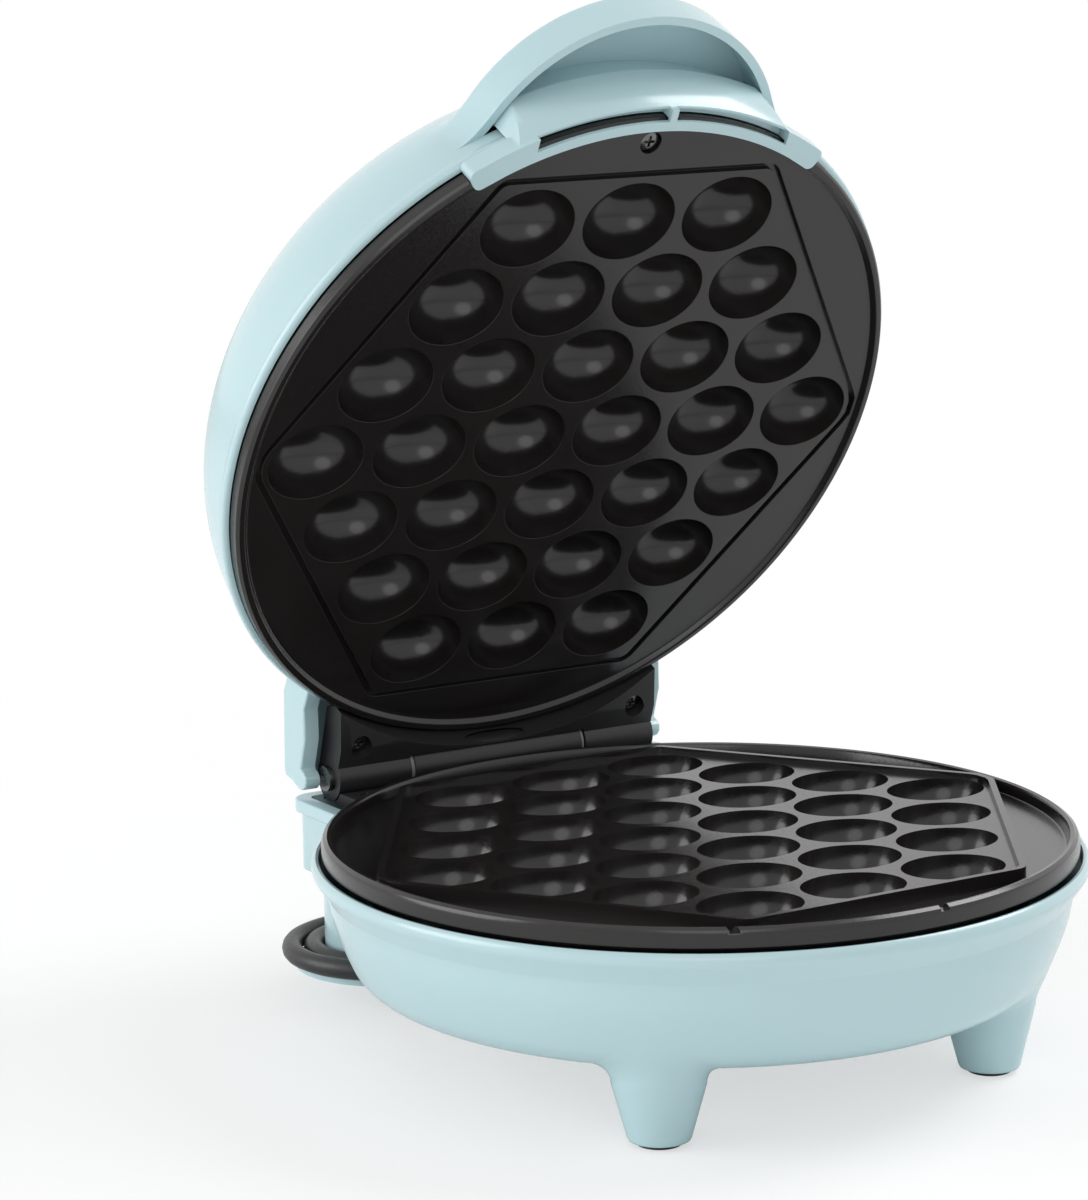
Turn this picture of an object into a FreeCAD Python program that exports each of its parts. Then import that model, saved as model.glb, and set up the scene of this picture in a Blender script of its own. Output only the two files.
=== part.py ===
# Electric egg waffle maker: a mint bowl and domed lid on a rear hinge, two cast plates with thirty
# egg wells each, and a power cord wound on a spool under the rear. Millimetres, +Z up, +Y to the hinge.
# Everything is drawn about the plates' middle with the lid shut. Each piece's Placement then moves it
# so that the origin is under the middle of the whole object, and turns the lid's pieces open.
import FreeCAD, Part
import Sketcher
import math
import os

doc = FreeCAD.newDocument("EggWaffleMaker")
Vector = FreeCAD.Vector

SIZES = {
    "Lid": {"lid_open": 62.85, "hinge_y": 102.65, "hinge_z": 57.7, "middle_y": 18.455},
    "Fits": {"running_gap": 0.3, "part_gap": 0.6, "overrun": 5, "screw_gap": 0.1},
    "Egg wells": {
        "well_pitch": 30, "well_row_pitch": 21.75, "well_half_length": 13.55, "well_half_width": 11.16,
        "well_wall": 2.5, "middle_row_wells": 6, "rows_beside": 3,
    },
    "Plates": {
        "lower_plate_radius": 95.4, "upper_plate_radius": 95.9, "plate_thick": 4, "rim_width": 3,
        "rim_rise": 3.2, "upper_rim_drop": 1.5, "lower_flat_z": 55.3, "upper_flat_z": 61.9,
        "plateau_rise": 2.2, "hexagon_half_length": 94, "hexagon_half_top": 41, "hexagon_half_width": 80,
        "ridge_width": 1.7, "ridge_rise": 1.4, "seal_groove_width": 1.6, "seal_groove_depth": 1.6,
        "skirt_drop": 1.8, "plate_step": 4.4,
    },
    "Heaters": {
        "heater_ring_radius": 56, "heater_radius": 3.25, "heater_groove_gap": 0.15, "heater_sink": 3.5,
        "heater_rib_width": 12, "heater_gap_angle": 50, "cold_pin_radius": 2.5, "cold_pin_length": 6,
        "thermostat_radius": 8.5, "thermostat_height": 7, "thermostat_boss": 9, "blade_width": 5,
        "blade_thick": 0.8, "blade_length": 2.5, "blade_apart": 10, "fuse_radius": 2.6, "fuse_length": 14,
        "fuse_x": -8, "fuse_y": 36,
    },
    "Heat shields": {
        "lower_shield_radius": 76, "upper_shield_radius": 80, "shield_thick": 0.8, "lower_shield_z": 27,
        "upper_shield_z": 94, "lower_pillar_place": 66, "upper_pillar_place": 50, "pillar_radius": 4,
    },
    "Base": {
        "base_bottom_z": 20.5, "bowl_wall": 2.5, "bowl_floor_radius": 79, "bowl_foot_radius": 88.2,
        "bowl_foot_z": 26, "bowl_belly_radius": 93, "bowl_belly_z": 38.5, "bowl_neck_radius": 94,
        "bowl_neck_z": 44.5, "bead_radius": 98, "bead_low_z": 50, "bead_high_z": 52, "bowl_top_z": 53,
        "bead_inner_radius": 96, "bowl_heel_arc": 9, "bowl_belly_arc": 60, "wall_boss_radius": 3.6,
        "wall_boss_place": 88, "wall_boss_low_z": 37,
    },
    "Base tail": {
        "tail_half_width": 57, "tail_back_y": 109, "tail_low_z": 33, "tail_high_z": 52.5, "tail_wall": 2.5,
        "tail_front_y": 70, "tail_corner": 5, "lip_low_z": 49, "lip_out": 1.75, "tail_boss_x": 43.5,
        "tail_boss_y": 91.8, "tail_boss_radius": 4,
    },
    "Feet": {
        "front_foot_x": 49.5, "front_foot_y": -55.3, "front_foot_top": 11.5, "front_foot_bottom": 7.8,
        "foot_low_z": 1.2, "pad_radius": 5.7, "pad_gap": 0.2, "pad_thick": 3, "rear_foot_x": 30,
        "rear_foot_y": 85, "rear_foot_radius": 8,
    },
    "Cord spool": {
        "spool_half": 40.5, "spool_y": 90, "hub_radius": 16.5, "flange_radius": 24.5, "flange_low_z": 8.5,
        "flange_thick": 1.7, "hub_wall": 2.5, "hub_arch_z": 20.2, "spool_screw_x": 25, "spool_screw_y": 98,
        "spool_boss_high_z": 42,
    },
    "Screws": {
        "screw_radius": 1.5, "head_radius": 2.75, "head_height": 1.8, "cross_width": 0.8, "cross_length": 3.2,
        "cross_depth": 1, "head_sink": 0.6, "short_screw": 8,
    },
    "Hinge": {
        "barrel_radius": 6.2, "hinge_half": 50, "knuckle_half": 26.5, "washer_thick": 1, "pin_radius": 2,
        "pin_gap": 0.15, "pin_head_radius": 3.4, "pin_head_thick": 1.5, "bracket_low_z": 51.5,
        "bracket_thick": 3, "bracket_front_y": 80, "bracket_back_y": 106, "bracket_plate_gap": 0.4,
        "frame_front_y": 80.4, "frame_front_z": 60.6, "frame_crest_y": 85.2, "frame_crest_z": 66.9,
        "frame_heel_y": 91.9, "frame_heel_z": 55.4, "frame_pad_z": 65.2, "frame_screw_z": 61.4,
    },
    "Lid shell": {
        "lid_rim_z": 65, "lid_rim_radius": 97.7, "lid_rim_height": 3, "dome_radius": 96.9,
        "dome_height": 60, "lid_wall": 2.5, "lid_post_radius": 4, "lid_tail_half_width": 57,
        "lid_tail_wall": 4.5, "roof_thick": 2.5, "lid_tail_in_y": 80, "lid_tail_low_y": 85.7,
        "lid_tail_low_z": 67.2, "lid_tail_bend_y": 92.9, "lid_tail_bend_z": 63.3, "lid_tail_heel_y": 101.9,
        "lid_tail_heel_z": 61.8, "lid_tail_bead_y": 104, "lid_tail_bead_z": 57.8, "lid_tail_rear_y": 107.5,
        "lid_tail_rear_z": 64, "lid_tail_back_y": 108.5, "lid_tail_back_z": 68, "lid_tail_top_y": 87.6,
        "lid_tail_top_z": 78.6,
    },
    "Handle": {
        "visor_radius": 47, "visor_y": -71, "visor_wall": 2.3, "visor_low_z": 72, "visor_high_z": 86.8,
        "pocket_high_z": 84, "visor_edge": 5, "grip_half_length": 53, "grip_low_z": 59.2, "grip_lip": 1,
        "grip_inner_radius": 92.9, "grip_outer_radius": 98.9, "grip_wall_radius": 102.5,
        "grip_slot_inner": 95.5, "grip_slot_outer": 98, "grip_slot_high_z": 63, "grip_rib": 2,
        "grip_slot_half": 48,
    },
    "Cord": {
        "cord_radius": 2.7, "cord_layer_gap": 0.5, "cord_z": 13.1, "winding_start_x": -35,
        "winding_shift_x": 4, "bushing_radius": 4.6, "bushing_length": 4, "bushing_flange": 6,
        "bushing_flange_thick": 1.2, "bushing_x": 24, "bushing_z": 27, "winding_end_run": 6,
    },
    "Plug": {
        "plug_length": 32, "plug_width": 26, "plug_height": 17, "plug_corner": 5, "plug_neck_radius": 5.5,
        "plug_neck_end_radius": 3.6, "plug_neck_length": 10, "plug_pin_radius": 2, "plug_pin_length": 19,
        "plug_pin_apart": 19, "plug_pin_seat": 6,
    },
    "Wiring": {
        "wire_radius": 1.2, "block_half": 16, "block_front_y": 97, "block_back_y": 105, "block_height": 8.5,
    },
}

sheet = doc.addObject("Spreadsheet::Sheet", "Size")
row = 1
for title, group in SIZES.items():
    sheet.set("A%d" % row, title)
    row += 1
    for alias, number in group.items():
        sheet.set("A%d" % row, alias)
        sheet.set("B%d" % row, str(number))
        sheet.setAlias("B%d" % row, alias)
        row += 1
doc.recompute()

NODES = []


def size(alias):
    """A size from the sheet, for shapes that are drawn in code."""
    return float(sheet.get(alias))


def bind(thing, **expressions):
    for name, text in expressions.items():
        thing.setExpression(name.replace("_", "."), text)


def place(thing, x="0", y="0", z="0"):
    thing.setExpression("Placement.Base.x", x)
    thing.setExpression("Placement.Base.y", y)
    thing.setExpression("Placement.Base.z", z)


def seat(thing, node, on_lid=False):
    """Name a finished piece and set it where it stands: moved to the origin, and open if it is the lid's."""
    thing.Label = node
    y = "-Size.middle_y"
    z = "0"
    if on_lid:
        turn = "(Size.hinge_y * cos(Size.lid_open) + Size.hinge_z * sin(Size.lid_open))"
        drop = "(Size.hinge_z * cos(Size.lid_open) - Size.hinge_y * sin(Size.lid_open))"
        y = "Size.hinge_y - %s - Size.middle_y" % turn
        z = "Size.hinge_z - %s" % drop
        thing.Placement = FreeCAD.Placement(Vector(), FreeCAD.Rotation(Vector(-1, 0, 0), size("lid_open")))
        thing.setExpression("Placement.Rotation.Angle", "Size.lid_open")
    place(thing, "0", y, z)
    NODES.append(thing)
    return thing


def rod(name, radius, low, high, x="0", y="0"):
    """An upright cylinder from low to high."""
    piece = doc.addObject("Part::Cylinder", name)
    bind(piece, Radius=radius, Height="(%s) - (%s)" % (high, low))
    place(piece, x, y, low)
    return piece


def bar(name, radius, low, high, y="Size.hinge_y", z="Size.hinge_z"):
    """A cylinder that lies along X from low to high."""
    piece = doc.addObject("Part::Cylinder", name)
    bind(piece, Radius=radius, Height="(%s) - (%s)" % (high, low))
    piece.Placement = FreeCAD.Placement(Vector(), FreeCAD.Rotation(Vector(0, 1, 0), 90))
    place(piece, low, y, z)
    return piece


def block(name, x, y, z):
    """A box between pairs of low and high planes."""
    piece = doc.addObject("Part::Box", name)
    bind(
        piece,
        Length="(%s) - (%s)" % (x[1], x[0]),
        Width="(%s) - (%s)" % (y[1], y[0]),
        Height="(%s) - (%s)" % (z[1], z[0]),
    )
    place(piece, x[0], y[0], z[0])
    return piece


def both(expression):
    """The pair of planes at minus and plus one distance."""
    return ("-(%s)" % expression, expression)


def join(name, pieces):
    whole = doc.addObject("Part::MultiFuse", name)
    whole.Shapes = pieces
    return whole


def cut(name, base, tools):
    rest = doc.addObject("Part::Cut", name)
    rest.Base = base
    rest.Tool = tools[0] if len(tools) == 1 else join(name + "Tools", tools)
    return rest


def group(name, pieces):
    """Separate solids that share one node."""
    whole = doc.addObject("Part::Compound", name)
    whole.Links = pieces
    return whole


def drawn(name, shape):
    """A piece whose shape is drawn in code from the sheet's sizes."""
    piece = doc.addObject("Part::Feature", name)
    piece.Shape = shape
    return piece


def sketch(owner, name, role, points, height=None):
    """A closed outline on one of the body's own planes. Each point is a pair of expressions, and a
    third one is the radius of the arc that leads to it, which bulges to the left of its way."""
    drawing = owner.newObject("Sketcher::SketchObject", name)
    drawing.AttachmentSupport = [([p for p in owner.Origin.OriginFeatures if p.Role == role][0], "")]
    drawing.MapMode = "FlatFace"
    if height:
        drawing.setExpression("AttachmentOffset.Base.z", height)
    number = [[float(sheet.evalExpression(text)) for text in point] for point in points]
    count = len(points)
    for end in range(count):
        start = Vector(*number[end - 1][:2])
        stop = Vector(*number[end][:2])
        if len(points[end]) == 2:
            drawing.addGeometry(Part.LineSegment(start, stop))
        else:
            drawing.addGeometry(Part.Arc(start, bulge(start, stop, number[end][2]), stop))
    for end in range(count):
        point = drawing.getPoint(end, 2)
        tail = 2 if (point - Vector(*number[end][:2])).Length < 1e-6 else 1
        before = drawing.getPoint(end, 3 - tail)
        ahead = (end + 1) % count
        near = 1 if (drawing.getPoint(ahead, 1) - Vector(*number[end][:2])).Length < 1e-6 else 2
        drawing.addConstraint(Sketcher.Constraint("Coincident", end, tail, ahead, near))
        for kind, text, value in zip(("DistanceX", "DistanceY"), points[end], number[end]):
            which = drawing.addConstraint(Sketcher.Constraint(kind, -1, 1, end, tail, value))
            drawing.setExpression("Constraints[%d]" % which, text)
        if len(points[end]) == 3:
            which = drawing.addConstraint(Sketcher.Constraint("Radius", end, number[end][2]))
            drawing.setExpression("Constraints[%d]" % which, points[end][2])
    return drawing


def bulge(start, stop, radius):
    """The middle of the arc from start to stop that bulges to the left of its way."""
    chord = stop - start
    rise = radius - math.sqrt(radius**2 - (chord.Length / 2) ** 2)
    left = Vector(-chord.y, chord.x, 0).normalize()
    return start + chord / 2 + left * rise


def body(name):
    return doc.addObject("PartDesign::Body", name)


def pad(owner, drawing, length):
    feature = owner.newObject("PartDesign::Pad", drawing.Name + "Pad")
    feature.Profile = drawing
    feature.setExpression("Length", length)
    return feature


def pocket(owner, drawing, length):
    """A pocket that goes up from its sketch."""
    feature = owner.newObject("PartDesign::Pocket", drawing.Name + "Pocket")
    feature.Profile = drawing
    feature.Reversed = True
    feature.setExpression("Length", length)
    return feature


def revolve(owner, drawing, kind="PartDesign::Revolution"):
    feature = owner.newObject(kind, drawing.Name + "Turned")
    feature.Profile = drawing
    feature.ReferenceAxis = (drawing, ["V_Axis"])
    feature.Angle = 360
    return feature


def rounded_rear(half, front, rear, corner):
    """A rectangle whose two rear corners are quarter arcs, walked so that the arcs bulge outward."""
    return [
        ("-(%s)" % half, front),
        ("-(%s)" % half, "%s - (%s)" % (rear, corner)),
        ("-(%s) + (%s)" % (half, corner), rear, corner),
        ("%s - (%s)" % (half, corner), rear),
        (half, "%s - (%s)" % (rear, corner), corner),
        (half, front),
    ]


def stadium(half, middle, radius):
    """A slot outline, walked so that each end bulges outward, in two quarter arcs."""
    low = "%s - (%s)" % (middle, radius)
    high = "%s + (%s)" % (middle, radius)
    return [
        ("-(%s)" % half, low),
        ("-(%s) - (%s)" % (half, radius), middle, radius),
        ("-(%s)" % half, high, radius),
        (half, high),
        ("%s + (%s)" % (half, radius), middle, radius),
        (half, low, radius),
    ]


def add_rod(owner, kind, name, radius, low, high, x="0", y="0", top=None):
    """A cylinder, or with a top radius a cone, added to a body or cut out of it."""
    feature = owner.newObject("PartDesign::%s%s" % (kind, "Cone" if top else "Cylinder"), name)
    if top:
        bind(feature, Radius1=radius, Radius2=top)
    else:
        bind(feature, Radius=radius)
    feature.setExpression("Height", "(%s) - (%s)" % (high, low))
    place(feature, x, y, low)
    return feature


def screw(name, x, y, head, length, up=True):
    """A cross head screw. Its head's flat face is at head, and it points away from the way up says."""
    sign = "-" if up else "+"
    back = "+" if up else "-"

    def span(start, reach):
        """Low and high planes of a stretch from start, reach long, into the work."""
        ends = (start, "%s %s %s" % (start, sign, reach))
        return ends[::-1] if up else ends

    head_end = "(%s) %s Size.head_height" % (head, sign)
    cap = rod(name + "Head", "Size.head_radius", *span("(%s)" % head, "Size.head_height"), x=x, y=y)
    shank = rod(name + "Shank", "Size.screw_radius", *span(head_end, length), x=x, y=y)
    deep = ("(%s) %s Size.cross_depth" % (head, sign), "(%s) %s Size.cross_depth" % (head, back))
    deep = deep if up else deep[::-1]
    long = ("%s - Size.cross_length / 2", "%s + Size.cross_length / 2")
    wide = ("%s - Size.cross_width / 2", "%s + Size.cross_width / 2")
    slots = []
    for turn, (across, along) in enumerate(((long, wide), (wide, long))):
        pair_x = tuple(text % ("(%s)" % x) for text in across)
        pair_y = tuple(text % ("(%s)" % y) for text in along)
        slots.append(block("%sSlot%d" % (name, turn), pair_x, pair_y, deep))
    return cut(name, join(name + "Solid", [cap, shank]), slots)


def around(count, first, radius):
    """Places on a circle, as pairs of expressions; first is the first one's angle."""
    step = 360 / count
    angles = [first + step * k for k in range(count)]
    return [("%s * cos(%g)" % (radius, angle), "%s * sin(%g)" % (radius, angle)) for angle in angles]


def tube(points, radius, bends=None):
    """A round cord or wire: straight runs joined by tangent arcs. It gives the solid and the arcs' radii.
    Each arc is as large as its two runs allow, and bends sets one by its point's number."""
    edges = []
    radii = []
    run_share = 0.45
    start = points[0]
    for k in range(1, len(points) - 1):
        into = (points[k] - points[k - 1]).normalize()
        away = (points[k + 1] - points[k]).normalize()
        turn = into.getAngle(away)
        shorter = min((points[k] - points[k - 1]).Length, (points[k + 1] - points[k]).Length)
        bend = (bends or {}).get(k, run_share * shorter / math.tan(turn / 2))
        reach = bend * math.tan(turn / 2)
        enter = points[k] - into * reach
        leave = points[k] + away * reach
        inward = (away - into).normalize()
        middle = points[k] + inward * (bend / math.cos(turn / 2) - bend)
        if (enter - start).Length > 1e-6:
            edges.append(Part.LineSegment(start, enter).toShape())
        edges.append(Part.Arc(enter, middle, leave).toShape())
        radii.append(bend)
        start = leave
    edges.append(Part.LineSegment(start, points[-1]).toShape())
    return sweep(Part.Wire(edges), radius, points[1] - points[0]), radii


def sweep(path, radius, way):
    section = Part.Wire([Part.makeCircle(radius, path.OrderedVertexes[0].Point, way)])
    return path.makePipeShell([section], True, False)


# Plates

def wells(z, half_length, half_width, way):
    """Half an ellipsoid for each egg, above z if way is +1 and below it if -1: rows of 6, then 5, 4 and
    3 to both sides. Each is drawn below the rim and turned over for the upper plate."""
    arc = Part.Ellipse(Vector(half_length, 0, 0), Vector(0, half_width, 0), Vector())
    edge = Part.ArcOfEllipse(arc, 0, math.pi).toShape()
    axis = Part.makeLine(Vector(-half_length, 0, 0), Vector(half_length, 0, 0))
    face = Part.Face(Part.Wire([edge, axis]))
    egg = face.revolve(Vector(), Vector(1, 0, 0), -180)
    if way > 0:
        egg.rotate(Vector(), Vector(1, 0, 0), 180)
    beside = int(size("rows_beside"))
    eggs = []
    for line in range(-beside, beside + 1):
        count = int(size("middle_row_wells")) - abs(line)
        for k in range(count):
            x = (k - (count - 1) / 2) * size("well_pitch")
            eggs.append(egg.translated(Vector(x, line * size("well_row_pitch"), z)))
    return eggs


def hexagon(inset, low, high):
    """A hexagonal prism with two corners left and right; inset shrinks it all round."""
    half_width = size("hexagon_half_width") - inset
    slope = math.hypot(size("hexagon_half_length") - size("hexagon_half_top"), size("hexagon_half_width"))
    out = inset * slope / size("hexagon_half_width")
    half_length = size("hexagon_half_length") - out
    run = (size("hexagon_half_length") - size("hexagon_half_top")) / size("hexagon_half_width")
    half_top = half_length - run * half_width
    corners = [(half_length, 0), (half_top, half_width), (-half_top, half_width), (-half_length, 0)]
    corners += [(-half_top, -half_width), (half_top, -half_width)]
    outline = Part.makePolygon([Vector(x, y, low) for x, y in corners + corners[:1]])
    return Part.Face(outline).extrude(Vector(0, 0, high - low))


def turned(points):
    """A solid of revolution about Z from an outline of radius and height."""
    outline = Part.makePolygon([Vector(r, 0, z) for r, z in points + points[:1]])
    return Part.Face(outline).revolve(Vector(), Vector(0, 0, 1), 360)


def ring(inner, outer, low, high):
    whole = Part.makeCylinder(outer, high - low, Vector(0, 0, low))
    return whole.cut(Part.makeCylinder(inner, high - low, Vector(0, 0, low)))


def plate_back(flat_z, well_z, back_z, way):
    """The back of a plate: an egg cup behind each well, and the rib that holds the heater."""
    cup_width = size("well_half_width") + size("well_wall") - abs(well_z - flat_z)
    cups = wells(flat_z, size("well_half_length") + size("well_wall"), cup_width, way)
    inner = size("heater_ring_radius") - size("heater_rib_width") / 2
    outer = size("heater_ring_radius") + size("heater_rib_width") / 2
    heater_z = heater_level(way)
    groove = size("heater_radius") + size("heater_groove_gap")
    rib = ring(inner, outer, min(back_z, heater_z), max(back_z, heater_z))
    rib = rib.cut(Part.makeTorus(size("heater_ring_radius"), groove, Vector(0, 0, heater_z)))
    return cups + [rib]


def heater_level(way):
    """The height of a heater's ring: way is +1 behind the upper plate and -1 behind the lower one."""
    tip = well_level(way) + way * (size("well_half_width") + size("well_wall"))
    return tip + way * size("heater_sink")


def well_level(way):
    return size("upper_flat_z") if way > 0 else size("lower_flat_z") + size("plateau_rise")


def screw_seat(solid, head_z, way):
    """Cut the seat and the hole of a plate's front screw."""
    place_y = -size("wall_boss_place")
    deep = size("head_height") + size("head_sink")
    sink_low = head_z - size("overrun") if way > 0 else head_z - deep
    radius = size("head_radius") + size("screw_gap") * 3
    sink = Part.makeCylinder(radius, deep + size("overrun"), Vector(0, place_y, sink_low))
    hole_long = 4 * size("overrun")
    hole_low = Vector(0, place_y, head_z - hole_long / 2)
    hole = Part.makeCylinder(size("screw_radius") + size("screw_gap"), hole_long, hole_low)
    return solid.cut(sink).cut(hole)


def lower_plate_shape():
    radius = size("lower_plate_radius")
    flat = size("lower_flat_z")
    back = flat - size("plate_thick")
    skirt = flat - size("plate_thick") + size("skirt_drop")
    rim_in = radius - size("rim_width")
    top = flat + size("rim_rise")
    disc = turned([
        (0, back), (radius - size("plate_step"), back), (radius - size("plate_step"), skirt), (radius, skirt),
        (radius, flat + size("rim_rise") / 2), (radius - size("rim_width") / 3, top),
        (rim_in + size("rim_width") / 4, top), (rim_in, flat), (0, flat),
    ])
    plateau_z = flat + size("plateau_rise")
    plateau = hexagon(0, flat, plateau_z)
    ridge = hexagon(0, plateau_z, plateau_z + size("ridge_rise"))
    ridge = ridge.cut(hexagon(size("ridge_width"), plateau_z, plateau_z + size("ridge_rise")))
    ridge = ridge.common(Part.makeCylinder(rim_in, top + size("ridge_rise")))
    boss = Part.makeCylinder(
        size("thermostat_boss"), back - heater_level(-1), Vector(0, 0, heater_level(-1))
    )
    solid = screw_seat(disc, flat, -1).multiFuse([plateau, ridge])
    solid = solid.multiFuse([boss] + plate_back(flat, plateau_z, back, -1))
    return solid.cut(wells(plateau_z, size("well_half_length"), size("well_half_width"), -1)).removeSplitter()


def upper_plate_shape():
    radius = size("upper_plate_radius")
    flat = size("upper_flat_z")
    back = flat + size("plate_thick")
    skirt = flat + size("plate_thick") - 2 * size("running_gap") - size("part_gap")
    rim_in = radius - size("rim_width")
    low = flat - size("upper_rim_drop")
    disc = turned([
        (0, flat), (rim_in, flat), (rim_in + size("rim_width") / 3, low), (
            radius - size("rim_width") / 4, low
        ),
        (radius, flat), (radius, skirt), (radius - size("rim_width"), skirt), (
            radius - size("rim_width"), back
        ),
        (0, back),
    ])
    seal_low = flat - size("overrun")
    seal_high = flat + size("seal_groove_depth")
    seal = hexagon(0, seal_low, seal_high).cut(hexagon(size("seal_groove_width"), seal_low, seal_high))
    seal = seal.common(Part.makeCylinder(rim_in, flat + back))
    solid = screw_seat(disc, flat, 1).multiFuse(plate_back(flat, flat, back, 1))
    solid = solid.cut(wells(flat, size("well_half_length"), size("well_half_width"), 1))
    return solid.cut(seal).removeSplitter()


def heater_shape(way):
    """A tubular heater: an open ring in the plate's rib, with a cold pin square to the plate at each end."""
    level = heater_level(way)
    gap = size("heater_gap_angle")
    ring_radius = size("heater_ring_radius")
    loop = Part.makeTorus(
        ring_radius, size("heater_radius"), Vector(0, 0, level), Vector(0, 0, 1), -180, 180, 360 - gap
    )
    loop.rotate(Vector(), Vector(0, 0, 1), 90 + gap / 2)
    pins = []
    for side in (-1, 1):
        angle = math.radians(90 + side * gap / 2)
        at = Vector(ring_radius * math.cos(angle), ring_radius * math.sin(angle), level)
        length = size("cold_pin_length")
        pins.append(Part.makeCylinder(size("cold_pin_radius"), length, at, Vector(0, 0, way)))
        pins.append(Part.makeSphere(size("heater_radius"), at))
    return loop.multiFuse(pins).removeSplitter()


def cold_pin_end(side, way):
    angle = math.radians(90 - side * size("heater_gap_angle") / 2)
    radius = size("heater_ring_radius")
    return Vector(
        radius * math.cos(angle), radius * math.sin(angle), heater_level(way) + way * size("cold_pin_length")
    )


def plates():
    seat(drawn("LowerPlate", lower_plate_shape()), "lower_plate")
    seat(drawn("UpperPlate", upper_plate_shape()), "upper_plate", True)
    seat(drawn("LowerHeater", heater_shape(-1)), "lower_heater")
    seat(drawn("UpperHeater", heater_shape(1)), "upper_heater", True)
    boss_y = "-Size.wall_boss_place"
    low_head = "Size.lower_flat_z - Size.head_sink"
    seat(screw("LowerPlateScrew", "0", boss_y, low_head, "Size.short_screw"), "lower_plate_screw")
    high_head = "Size.upper_flat_z + Size.head_sink"
    seat(
        screw("UpperPlateScrew", "0", boss_y, high_head, "Size.short_screw", False), "upper_plate_screw",
        True,
    )


# Base

WALL_BOSS_ANGLES = (-90, -30, 30, 150, 210)


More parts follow.
